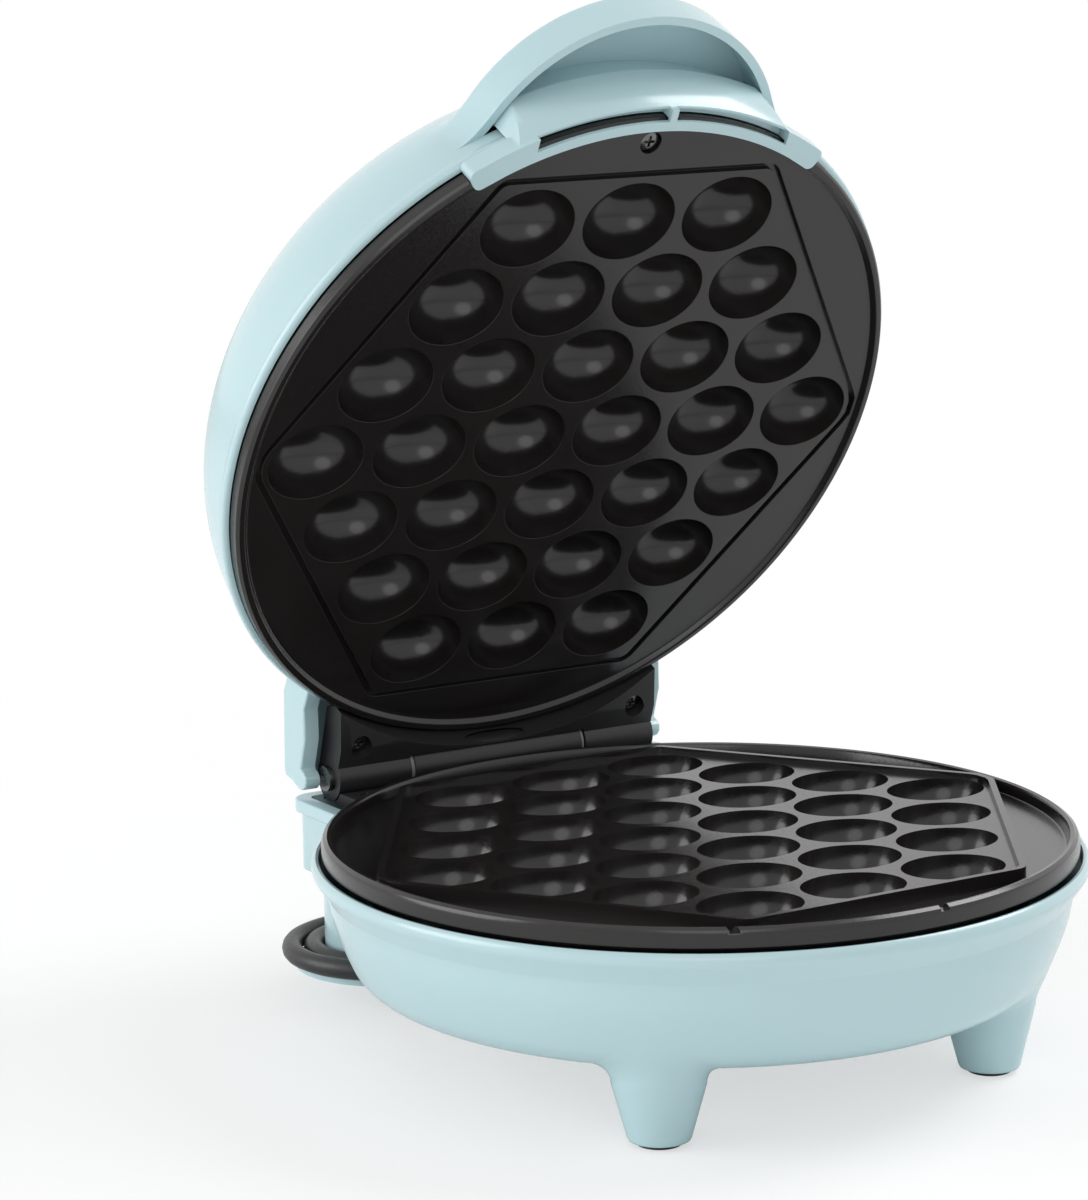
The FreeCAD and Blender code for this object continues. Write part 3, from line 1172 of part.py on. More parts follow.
def winding_lane(number):
    """The radius of one turn round the spool's ends: 0 lies on the hub, 1 outside it."""
    pitch = 2 * size("cord_radius") + size("cord_layer_gap")
    return size("hub_radius") + size("cord_radius") + size("cord_layer_gap") / 2 + number * pitch


def winding_path():
    """Two turns round the spool, side by side. The first turn steps out to the second along the back."""
    z = size("cord_z")
    half = size("spool_half")
    middle = size("spool_y")
    inner = winding_lane(0)
    outer = winding_lane(1)
    edges = []
    here = Vector(size("winding_start_x"), middle + inner, z)
    for lane, radius in enumerate((inner, outer)):
        left = Vector(-half, middle + radius, z)
        edges.append(Part.LineSegment(here, left).toShape())
        for quarter in (90, 180):
            edges.append(quarter_arc(-half, middle, radius, z, quarter))
        front = middle - radius
        edges.append(Part.LineSegment(Vector(-half, front, z), Vector(half, front, z)).toShape())
        edges.append(quarter_arc(half, middle, radius, z, 270))
        if lane:
            break
        edges.append(quarter_arc(half, middle, radius, z, 360))
        edges += step_out(Vector(half, middle + inner, z), Vector(size("winding_shift_x"), middle + outer, z))
        here = Vector(size("winding_shift_x"), middle + outer, z)
    end = Vector(half + outer, middle, z)
    edges.append(Part.LineSegment(end, end + Vector(0, size("winding_end_run"), 0)).toShape())
    return Part.Wire(edges)


def quarter_arc(x, y, radius, z, first):
    """A quarter turn, counterclockwise from the angle first about (x, y)."""
    at = [
        Vector(
            x + radius * math.cos(math.radians(first + a)), y + radius * math.sin(math.radians(first + a)),
            z,
        )
        for a in (0, 45, 90)
    ]
    return Part.Arc(*at).toShape()


def step_out(start, stop):
    """Two arcs that carry the cord from one lane to the next as it runs to -X."""
    run = start.x - stop.x
    shift = stop.y - start.y
    half_turn = math.atan2(shift, run)
    radius = run / (2 * math.sin(2 * half_turn))
    middle = (start + stop) / 2
    first = start + Vector(-radius * math.sin(half_turn), radius * (1 - math.cos(half_turn)), 0)
    last = stop + Vector(radius * math.sin(half_turn), -radius * (1 - math.cos(half_turn)), 0)
    print("Step between the turns: radius %.1f mm" % radius)
    return [Part.Arc(start, first, middle).toShape(), Part.Arc(middle, last, stop).toShape()]


def least_gap(path, radius):
    """The winding's least clear gap to itself, measured on points a millimetre apart along it."""
    points = path.discretize(Distance=1.0)
    apart = 8 * radius
    least = math.inf
    for first in range(0, len(points), 2):
        for second in range(first + int(apart), len(points)):
            least = min(least, (points[first] - points[second]).Length)
    return least - 2 * radius


def free_cord(node, points):
    solid, radii = tube([Vector(*point) for point in points], size("cord_radius"))
    runs = [(Vector(*b) - Vector(*a)).Length for a, b in zip(points, points[1:])]
    plain = math.pi * size("cord_radius") ** 2 * sum(runs)
    print(node, "radii", [round(r, 1) for r in radii], "volume share", round(solid.Volume / plain, 3))
    seat(drawn(node.title().replace("_", ""), solid), node)


def cord():
    cord_bushing()
    path = winding_path()
    gap = least_gap(path, size("cord_radius"))
    print("Winding: least gap %.2f mm, length %.0f mm" % (gap, path.Length))
    winding = sweep(path, size("cord_radius"), Vector(-1, 0, 0))
    seat(drawn("CordWinding", winding), "cord_winding")
    free_cord("cord_lead", LEAD_POINTS)
    free_cord("cord_end", END_POINTS)


def plug():
    """A two pin plug at the end of the cord, its pins along -X."""
    mouth = Vector(*END_POINTS[-1])
    way = Vector(-1, 0, 0)
    neck = Part.makeCone(
        size("plug_neck_end_radius"), size("plug_neck_radius"), size("plug_neck_length"), mouth, way
    )
    back = mouth + way * size("plug_neck_length")
    corner = Vector(
        back.x - size("plug_length"), back.y - size("plug_width") / 2, back.z - size("plug_height") / 2
    )
    casing = Part.makeBox(size("plug_length"), size("plug_width"), size("plug_height"), corner)
    casing = casing.makeFillet(
        size("plug_corner"), [e for e in casing.Edges if e.BoundBox.XLength > size("plug_corner")]
    )
    solid = casing.fuse(neck)
    pins = []
    for side in (-1, 1):
        face = Vector(corner.x, back.y + side * size("plug_pin_apart") / 2, back.z)
        seat_start = face - way * size("plug_pin_seat")
        seated = size("plug_pin_seat") + size("plug_pin_length")
        pins.append(Part.makeCylinder(size("plug_pin_radius"), seated, seat_start, way))
        solid = solid.cut(pins[-1])
    seat(drawn("PlugBody", solid), "plug_body")
    seat(drawn("PlugPins", Part.makeCompound(pins)), "plug_pins")


BUILDERS = (
    plates, base_shell, cord_spool, foot_pads, heat_shields, hinge, lid_hinge_frame, lid_shell, handle_grip,
    electrics, cord, plug,
)
for build in BUILDERS:
    build()
doc.recompute()

os.makedirs("parts", exist_ok=True)
for thing in doc.Objects:
    if "Invalid" in thing.State or "Error" in thing.State:
        raise RuntimeError("%s failed: %s" % (thing.Name, thing.State))
for thing in NODES:
    if thing.Shape.isNull() or not thing.Shape.isValid():
        raise RuntimeError("%s has no valid shape" % thing.Label)
for thing in NODES:
    thing.Shape.exportStep("parts/%s.step" % thing.Label)
print(len(NODES), "pieces")
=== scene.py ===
# %% [markdown]
# An egg waffle maker: a mint bowl and a domed lid on a rear hinge, two black cast plates with thirty
# egg wells each, and a power cord wound on a spool under the rear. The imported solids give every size
# and place. This lesson dresses them: each step says what the real piece is and how it is made here.

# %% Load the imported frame
import math

import bmesh
import bpy
from mathutils import Matrix, Vector


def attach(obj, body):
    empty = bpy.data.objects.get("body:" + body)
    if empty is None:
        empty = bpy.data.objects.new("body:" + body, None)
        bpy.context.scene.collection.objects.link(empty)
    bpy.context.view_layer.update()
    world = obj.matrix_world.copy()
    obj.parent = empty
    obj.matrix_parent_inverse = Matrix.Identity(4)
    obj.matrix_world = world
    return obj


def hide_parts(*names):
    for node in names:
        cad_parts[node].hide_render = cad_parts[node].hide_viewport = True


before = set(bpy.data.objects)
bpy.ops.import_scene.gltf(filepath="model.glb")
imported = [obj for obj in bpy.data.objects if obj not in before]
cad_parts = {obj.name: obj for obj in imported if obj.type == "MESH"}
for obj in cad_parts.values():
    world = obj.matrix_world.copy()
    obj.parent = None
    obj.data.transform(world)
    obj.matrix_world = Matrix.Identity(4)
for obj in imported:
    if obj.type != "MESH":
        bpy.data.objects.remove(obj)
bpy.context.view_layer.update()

# %% [markdown]
# The maker's drawing is in millimetres about the middle of the plates, with the lid shut. Two matrices
# carry a drawn piece to its place: one for the base, and one that also turns the lid open about the hinge.
# A finished piece keeps its place in its mesh, so its object stays at the origin.

# %% From the drawing to the frame
DRAWING_SHIFT = 18.455
HINGE = Vector((0.0, 102.65, 57.7))
LID_OPEN = math.radians(62.85)

TO_BASE = Matrix.Scale(0.001, 4) @ Matrix.Translation((0.0, -DRAWING_SHIFT, 0.0))
TO_LID = TO_BASE @ Matrix.Translation(HINGE) @ Matrix.Rotation(-LID_OPEN, 4, "X") @ Matrix.Translation(-HINGE)
PLACES = {"base": TO_BASE, "lid": TO_LID}

def put_in_scene(name, data):
    """A new object for a mesh, curve, camera or lamp, linked to the scene."""
    thing = bpy.data.objects.new(name, data)
    bpy.context.scene.collection.objects.link(thing)
    return thing


print("lid opened", round(math.degrees(LID_OPEN), 2), "degrees")

# %% [markdown]
# The camera comes first. Its place and lens were worked out from the thirty wells and the plates' rims.
# It looks slightly down from the front left, from most of a metre away, so the perspective is mild.

# %% Camera
LENS_PIXELS = 3857.5
AZIMUTH = math.radians(-32.01)
ELEVATION = math.radians(10.24)
ROLL = math.radians(-0.76)
DISTANCE = 938.7
TARGET = Vector((-42.17, 0.0, 131.67))
SENSOR = 36.0
FRAME_HEIGHT = 1200.0
FRAME_MIDDLE = (544.0, 600.0)
LENS_MIDDLE = (554.0, 558.3)

back = Vector((
    math.sin(AZIMUTH) * math.cos(ELEVATION), -math.cos(AZIMUTH) * math.cos(ELEVATION), math.sin(ELEVATION)
))
right = (-back).cross(Vector((0.0, 0.0, 1.0))).normalized()
above = right.cross(-back)
tilted_right = math.cos(ROLL) * right + math.sin(ROLL) * above
tilted_above = math.cos(ROLL) * above - math.sin(ROLL) * right
turn = Matrix((tilted_right, tilted_above, back)).transposed().to_4x4()

lens = bpy.data.cameras.new("photo_camera")
lens.sensor_fit = "AUTO"
lens.sensor_width = SENSOR
lens.lens = LENS_PIXELS * SENSOR / FRAME_HEIGHT
lens.shift_x = (FRAME_MIDDLE[0] - LENS_MIDDLE[0]) / FRAME_HEIGHT
lens.shift_y = (LENS_MIDDLE[1] - FRAME_MIDDLE[1]) / FRAME_HEIGHT
lens.clip_start = 0.01
camera = put_in_scene("photo_camera", lens)
camera.matrix_world = Matrix.Translation(TO_BASE @ (TARGET + back * DISTANCE)) @ turn
bpy.context.scene.camera = camera
print("lens", round(lens.lens, 1), "mm")

# %% [markdown]
# The finishes are plain node trees on Object coordinates, so a pattern stays on its piece when the lid
# moves. One helper adds a node to any tree. The other lays a soft drift of tone and a fine grain over any
# colour, because every moulded or cast surface has both.

# %% Helpers for node trees and finishes
def feed(tree, socket, value):
    """Link a socket to another node's first output or to a given socket, or set it to a plain value."""
    if isinstance(value, bpy.types.Node):
        value = value.outputs[0]
    if isinstance(value, bpy.types.NodeSocket):
        tree.links.new(value, socket)
    else:
        socket.default_value = value


def add_node(tree, kind, inputs=None, **settings):
    """A node whose settings are made first, and whose inputs are then fed by name or number."""
    node = tree.nodes.new(kind)
    for name, value in settings.items():
        setattr(node, name, value)
    for name, value in (inputs or {}).items():
        feed(tree, node.inputs[name], value)
    return node


def mottled(name, dark, light, rough, drift=18.0, grain=900.0, relief=0.0, depth=0.00005, metal=0.0):
    """A finish whose tone drifts from dark to light, with roughness between two values and a fine grain."""
    finish = bpy.data.materials.new(name)
    finish.use_nodes = True
    tree = finish.node_tree
    where = add_node(tree, "ShaderNodeTexCoord").outputs["Object"]
    clouds = add_node(tree, "ShaderNodeTexNoise", {"Scale": drift, "Detail": 4.0, "Vector": where})
    tone = add_node(tree, "ShaderNodeMix", {
        "A": (*dark, 1.0), "B": (*light, 1.0), "Factor": clouds,
    }, data_type="RGBA")
    specks = add_node(tree, "ShaderNodeTexNoise", {"Scale": grain, "Detail": 3.0, "Vector": where})
    sheen = add_node(tree, "ShaderNodeMapRange", {
        "From Min": 0.35, "From Max": 0.65, "To Min": rough[0], "To Max": rough[1], "Value": specks,
    })
    shader = tree.nodes["Principled BSDF"].inputs
    feed(tree, shader["Metallic"], metal)
    feed(tree, shader["Base Color"], tone.outputs["Result"])
    feed(tree, shader["Roughness"], sheen)
    if relief:
        bump = add_node(tree, "ShaderNodeBump", {"Strength": relief, "Distance": depth, "Height": specks})
        feed(tree, shader["Normal"], bump)
    return finish

# %% [markdown]
# The shells are glossy mint plastic. A very faint orange peel keeps the highlights from looking like
# glass. The plates carry a black non-stick coat: it is sprayed, so it has a fine speckle and a satin
# sheen. The hinge pieces are black plastic with an even spark-eroded grain.

# %% Finishes that show most
mint_plastic = mottled(
    "mint_plastic", (0.450, 0.630, 0.665), (0.470, 0.650, 0.685), (0.20, 0.26), drift=9.0, grain=420.0,
    relief=0.12, depth=0.00004,
)
mint_shader = mint_plastic.node_tree.nodes["Principled BSDF"]
mint_shader.inputs["Coat Weight"].default_value = 0.25
mint_shader.inputs["Coat Roughness"].default_value = 0.12
nonstick_coat = mottled(
    "nonstick_coat", (0.010, 0.009, 0.009), (0.016, 0.014, 0.013), (0.15, 0.23), drift=26.0, grain=1500.0,
    relief=0.22, depth=0.00006,
)
hinge_grain = mottled(
    "hinge_grain", (0.011, 0.011, 0.012), (0.018, 0.018, 0.019), (0.38, 0.52), drift=40.0, grain=2600.0,
    relief=0.5, depth=0.00008,
)
cord_rubber = mottled(
    "cord_rubber", (0.012, 0.012, 0.012), (0.020, 0.020, 0.020), (0.36, 0.46), drift=55.0, grain=1400.0,
    relief=0.2,
)
pad_rubber = mottled(
    "pad_rubber", (0.018, 0.018, 0.018), (0.030, 0.030, 0.030), (0.70, 0.85), drift=120.0, grain=2200.0,
    relief=0.5,
)
plug_shell = mottled(
    "plug_shell", (0.012, 0.012, 0.012), (0.020, 0.020, 0.020), (0.40, 0.55), drift=60.0, grain=3000.0,
    relief=0.5, depth=0.00008,
)
zinc_screw = mottled(
    "zinc_screw", (0.13, 0.13, 0.13), (0.22, 0.22, 0.22), (0.24, 0.36), drift=300.0, grain=2500.0,
    relief=0.25, metal=1.0,
)

# %% [markdown]
# The pieces inside are hidden while the lid is whole, yet each has its own finish too: dull heater
# sheath, rolled shield sheet, unglazed ceramic, woven wire sleeve, nylon washers and brass pins.

# %% Finishes of the inner pieces
heater_sheath = mottled(
    "heater_sheath", (0.16, 0.14, 0.13), (0.30, 0.27, 0.24), (0.45, 0.62), drift=60.0, grain=900.0,
    relief=0.3, metal=1.0,
)
rolled_sheet = mottled(
    "rolled_sheet", (0.55, 0.55, 0.56), (0.68, 0.68, 0.69), (0.30, 0.45), drift=35.0, grain=1200.0,
    relief=0.15, metal=1.0,
)
bare_ceramic = mottled(
    "bare_ceramic", (0.66, 0.63, 0.56), (0.76, 0.74, 0.68), (0.70, 0.85), drift=80.0, grain=1600.0,
    relief=0.3,
)
woven_sleeve = mottled(
    "woven_sleeve", (0.50, 0.48, 0.42), (0.70, 0.68, 0.62), (0.75, 0.90), drift=900.0, grain=2400.0,
    relief=0.7,
)
nylon_washer = mottled(
    "nylon_washer", (0.22, 0.21, 0.19), (0.30, 0.29, 0.26), (0.40, 0.50), drift=150.0, grain=1800.0,
    relief=0.1,
)
plug_brass = mottled(
    "plug_brass", (0.55, 0.44, 0.22), (0.70, 0.58, 0.32), (0.22, 0.34), drift=200.0, grain=2400.0,
    relief=0.15, metal=1.0,
)
INNER_FINISHES = {
    "lower_heater": heater_sheath, "upper_heater": heater_sheath, "lower_heat_shield": rolled_sheet,
    "upper_heat_shield": rolled_sheet, "thermostat": bare_ceramic, "thermal_fuse": bare_ceramic,
    "terminal_block": bare_ceramic, "base_wiring": woven_sleeve, "lid_wiring": woven_sleeve,
    "friction_washers": nylon_washer, "plug_pins": plug_brass, "hinge_pin": zinc_screw,
}
for node, finish in INNER_FINISHES.items():
    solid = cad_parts[node]
    solid.data.materials.clear()
    solid.data.materials.append(finish)
print("inner pieces finished:", len(INNER_FINISHES))

# %% [markdown]
# A few small tools follow. One turns an outline about an upright axis, as a lathe or a round mould
# does. One settles an object's modifiers into a plain mesh. The last puts a piece in its place with its
# finish, and says which solids it stands for.

# %% Helpers for shapes
def add_grid(shape, rows):
    """Faces between rows of vertices that each go once round."""
    for low, high in zip(rows, rows[1:]):
        count = max(len(low), len(high))
        for k in range(count):
            ahead = (k + 1) % count
            if len(low) == 1:
                shape.faces.new((low[0], high[ahead], high[k]))
            elif len(high) == 1:
                shape.faces.new((low[k], low[ahead], high[0]))
            else:
                shape.faces.new((low[k], low[ahead], high[ahead], high[k]))


def angles_round(steps):
    """Even angles once round a circle."""
    return [2 * math.pi * k / steps for k in range(steps)]


def turned(shape, outline, steps, middle):
    """A closed outline of (radius, height), walked upward on its outside, turned into a round solid.
    Where it starts and ends on the axis, flat faces close it."""
    rows = []
    for radius, height in outline:
        if radius:
            rows.append([
                shape.verts.new((middle[0] + radius * math.cos(a), middle[1] + radius * math.sin(a), height))
                for a in angles_round(steps)
            ])
    if outline[0][0]:
        rows.append(rows[0])
    else:
        shape.faces.new(rows[0][::-1])
        shape.faces.new(rows[-1])
    add_grid(shape, rows)


def prism(shape, near, far):
    """A solid between two outlines whose points match."""
    ends = [[shape.verts.new(spot) for spot in outline] for outline in (near, far)]
    add_grid(shape, ends)
    shape.faces.new(ends[0][::-1])
    shape.faces.new(ends[1])


def upright(shape, outline, low, high):
    """A prism on a flat outline of (x, y), walked counterclockwise."""
    prism(shape, *[[(x, y, z) for x, y in outline] for z in (low, high)])


def sideways(shape, outline, half):
    """A prism across the object from a side outline of (y, z), walked counterclockwise as seen from +X."""
    prism(shape, *[[(x, y, z) for y, z in outline] for x in (-half, half)])


def rectangle(left, right, near, far):
    return [(left, near), (right, near), (right, far), (left, far)]


def as_object(name, shape):
    """A new object from an edited mesh, which is freed."""
    mesh = bpy.data.meshes.new(name)
    shape.to_mesh(mesh)
    shape.free()
    return put_in_scene(name, mesh)


def shaped(name, *makers, turn_out=True):
    """A new object from calls that add to one mesh. A closed shape has its faces turned outward."""
    shape = bmesh.new()
    for make in makers:
        make(shape)
    if turn_out:
        bmesh.ops.recalc_face_normals(shape, faces=shape.faces)
    return as_object(name, shape)


def lathe(name, outline, steps=224, middle=(0.0, 0.0)):
    """A round solid as an object of its own."""
    return shaped(name, lambda shape: turned(shape, outline, steps, middle))


def slab(name, outline, low, high):
    """An upright prism as an object of its own."""
    return shaped(name, lambda shape: upright(shape, outline, low, high))


def smooth(thing, degrees):
    """Smooth light over an object, save across edges sharper than an angle."""
    thing.data.shade_smooth()
    thing.data.set_sharp_from_angle(angle=math.radians(degrees))


def settle(thing):
    """The object with its modifiers turned into a plain mesh."""
    seen = thing.evaluated_get(bpy.context.evaluated_depsgraph_get())
    mesh = bpy.data.meshes.new_from_object(seen)
    thing.modifiers.clear()
    thing.data = mesh
    return thing


def carve(thing, tool, how="DIFFERENCE"):
    """Cut a tool out of an object, or join it on, and throw the tool away."""
    knife = thing.modifiers.new("carve", "BOOLEAN")
    knife.operation = how
    knife.solver = "EXACT"
    knife.object = tool
    settle(thing)
    bpy.data.objects.remove(tool)
    return thing


def melt_flat_seams(thing):
    """Clear the edges that cross flat faces, and the doubled points, that carving leaves."""
    shape = bmesh.new()
    shape.from_mesh(thing.data)
    bmesh.ops.remove_doubles(shape, verts=shape.verts, dist=0.004 * max(thing.dimensions) / 200)
    bmesh.ops.dissolve_limit(shape, angle_limit=math.radians(0.6), verts=shape.verts, edges=shape.edges)
    shape.to_mesh(thing.data)
    shape.free()


def ease_edges(thing, width, steps=3, angle=35.0):
    """Small round edges, as every mould leaves, with flat faces kept flat in the light."""
    melt_flat_seams(thing)
    bevel = thing.modifiers.new("edges", "BEVEL")
    bevel.width = width
    bevel.segments = steps
    bevel.limit_method = "ANGLE"
    bevel.angle_limit = math.radians(angle)
    bevel.use_clamp_overlap = True
    thing.data.shade_smooth()
    weigh = thing.modifiers.new("light", "WEIGHTED_NORMAL")
    weigh.weight = 80
    weigh.keep_sharp = True
    return settle(thing)


def join_on(thing, *others):
    """One mesh from several objects that are moulded as one piece."""
    whole = bmesh.new()
    for part in (thing, *others):
        whole.from_mesh(part.data)
    mesh = bpy.data.meshes.new(thing.name)
    whole.to_mesh(mesh)
    whole.free()
    for part in others:
        bpy.data.objects.remove(part)
    thing.data = mesh
    return thing


def finish_piece(thing, body, slot, finish, *nodes, drawn=True):
    """Put a piece in its place, give it its finish, and let it stand for its solids."""
    if drawn:
        thing.data.transform(PLACES[body])
    thing.data.materials.clear()
    thing.data.materials.append(finish)
    for face in thing.data.polygons:
        face.material_index = 0
    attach(thing, body)
    if nodes:
        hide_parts(*nodes)
    print(thing.name, "faces", len(thing.data.polygons))
    return thing

# %% [markdown]
# The cord is one fixed length of flexible lead, so it is one smooth NURBS curve. It leaves the spool
# through a bushing, comes round in a loop, lies down on the spool, goes round it twice with the turns
# side by side, and ends in its plug behind the object, where the photograph can't show it. Round each
# end of the spool the control points lie on the corners of a polygon that touches the turn.

# %% The cord's route
CORD_RADIUS = 2.7
CORD_LEVEL = 13.1
SPOOL_END = 40.5
SPOOL_MIDDLE = 90.0
LANES = (19.45, 25.35)

LEAD = [
    (24.0, 110.5, 27.0), (24.0, 121.5, 27.0), (18.0, 132.5, 25.8), (6.5, 134.0, 24.4), (-2.5, 123.5, 22.6),
    (-10.0, 114.0, 20.2), (-18.8, 109.8, 16.3), (-27.0, 109.45, 13.1), (-35.3, 109.45, 13.1),
]
TAIL_RUN = [
    (65.85, 96.9, 13.1), (65.85, 110.0, 13.1), (69.5, 124.5, 11.2), (69.0, 140.0, 9.4), (58.0, 151.0, 8.7),
    (43.0, 151.0, 8.7),
]


def round_end(side, lane, first, last):
    """Control points round one end of the spool, every 30 degrees from first to last."""
    corner = lane / math.cos(math.radians(15))
    return [
        (side * SPOOL_END + corner * math.cos(math.radians(a)),
         SPOOL_MIDDLE + corner * math.sin(math.radians(a)), CORD_LEVEL)
        for a in range(first, last + 1, 30)
    ]


def front_run(lane):
    """A point near each end of the straight run along the spool's front."""
    near = SPOOL_END - lane * math.tan(math.radians(15))
    return [(x, SPOOL_MIDDLE - lane, CORD_LEVEL) for x in (-near, near)]


inner_lane, outer_lane = LANES
route = LEAD + round_end(-1, inner_lane, 105, 255) + front_run(inner_lane) + round_end(1, inner_lane, -75, 75)
route += [
    (x, y, CORD_LEVEL)
    for x, y in ((33.0, 109.8), (19.0, 112.4), (5.0, 115.0), (-12.0, 115.35), (-33.7, 115.35))
]
route += round_end(-1, outer_lane, 105, 255) + front_run(outer_lane) + round_end(1, outer_lane, -75, -15)
route += TAIL_RUN

line = bpy.data.curves.new("power_cord", "CURVE")
line.dimensions = "3D"
line.resolution_u = 8
spline = line.splines.new("NURBS")
spline.points.add(len(route) - 1)
for point, spot in zip(spline.points, route):
    point.co = (*(TO_BASE @ Vector(spot)), 1.0)
spline.order_u = 3
spline.use_endpoint_u = True
cord = put_in_scene("power_cord", line)

bare = bpy.data.meshes.new_from_object(cord.evaluated_get(bpy.context.evaluated_depsgraph_get()))
trace = [vertex.co.copy() for vertex in bare.vertices]

# %% The cord's thickness and finish
line.bevel_depth = CORD_RADIUS / 1000
line.bevel_resolution = 5
line.use_fill_caps = True
line.materials.append(cord_rubber)
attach(cord, "base")
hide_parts("cord_lead", "cord_winding", "cord_end")

# %% [markdown]
# Where the lead leaves the spool it would soon break if it could kink, so a tapered rubber sleeve is
# moulded round it, with rings cut into it so that it bends evenly. It follows the cord's own line.

# %% Strain relief
def along(trace_points, reach):
    """The point and the direction at a distance along a line of points."""
    gone = 0.0
    for a, b in zip(trace_points, trace_points[1:]):
        step = (b - a).length
        if gone + step >= reach:
            return a.lerp(b, (reach - gone) / step), (b - a).normalized()
        gone += step
    return trace_points[-1], (trace_points[-1] - trace_points[-2]).normalized()


SLEEVE_LENGTH = 0.024
SLEEVE_ROWS = 49
SLEEVE_SIDES = 32
SLEEVE_RADII = (4.6, 3.15)
BUSHING = (24.0, 27.0)


def sleeve_radius(share):
    """Tapered from the housing to the cord, with five rings of relief cut in it."""
    wide, narrow = SLEEVE_RADII
    plain = wide + (narrow - wide) * share
    ringed = 0.35 * (0.5 - 0.5 * math.cos(2 * math.pi * 6 * share)) if 0.12 < share < 0.92 else 0.0
    return (plain - ringed) / 1000


def strain_relief(shape):
    rows = []
    for k in range(SLEEVE_ROWS):
        share = k / (SLEEVE_ROWS - 1)
        spot, way = along(trace, SLEEVE_LENGTH * share)
        side = way.cross(Vector((0, 0, 1))).normalized()
        over = side.cross(way)
        radius = sleeve_radius(share)
        rows.append([
            shape.verts.new(spot + radius * (math.cos(a) * side + math.sin(a) * over))
            for a in angles_round(SLEEVE_SIDES)
        ])
    add_grid(shape, rows)
    shape.faces.new(rows[0])
    shape.faces.new(rows[-1][::-1])


def bushing_collar(shape):
    """The flange that stops the sleeve in the spool's wall."""
    x, z = BUSHING

    def tip(y):
        return [shape.verts.new(TO_BASE @ Vector((x, y, z)))]
    rows = []
    for radius, reach in (
        (4.4, -2.4), (4.4, 0.0), (5.7, 0.0), (6.0, 0.3), (6.0, 0.9), (5.7, 1.2), (3.0, 1.2)
    ):
        centre = Vector((x, 106.5 + reach, z))
        rows.append([
            shape.verts.new(TO_BASE @ (centre + radius * Vector((math.cos(a), 0, math.sin(a)))))
            for a in angles_round(SLEEVE_SIDES)
        ])
    add_grid(shape, [tip(104.1), *rows, tip(107.7)])


sleeve = shaped("cord_strain_relief", strain_relief, bushing_collar)
smooth(sleeve, 50)
finish_piece(sleeve, "base", "cord_jacket", cord_rubber, "cord_bushing", drawn=False)

# %% [markdown]
# The wells are one form repeated thirty times by a rule: rows of three, four, five, six, five, four and
# three, each row shifted by half a pitch. A Geometry Nodes tree lays out the rule and puts an egg on
# each place. The eggs are the tool that presses the wells into both plates.

# %% Geometry Nodes tree for the eggs
def new_tree(name, inputs):
    """A geometry tree with named inputs. It gives the tree, its input's sockets and its output node."""
    tree = bpy.data.node_groups.new(name, "GeometryNodeTree")
    for label, kind, value in [("Geometry", "NodeSocketGeometry", None), *inputs]:
        socket = tree.interface.new_socket(name=label, in_out="INPUT", socket_type=kind)
        if value is not None:
            socket.default_value = value
    tree.interface.new_socket(name="Geometry", in_out="OUTPUT", socket_type="NodeSocketGeometry")
    return tree, add_node(tree, "NodeGroupInput").outputs, add_node(tree, "NodeGroupOutput")


def reckon(tree, operation, *values):
    """A Math node fed in order by nodes, sockets or numbers."""
    return add_node(tree, "ShaderNodeMath", dict(enumerate(values)), operation=operation)


def hand_out(tree, given, result, instances):
    """Make the instances real, give them the finish, and end the tree with them."""
    real = add_node(tree, "GeometryNodeRealizeInstances", {"Geometry": instances})
    paint = add_node(tree, "GeometryNodeSetMaterial", {
        "Geometry": real, "Material": given["Finish"],
    })
    feed(tree, result.inputs["Geometry"], paint)
    return tree


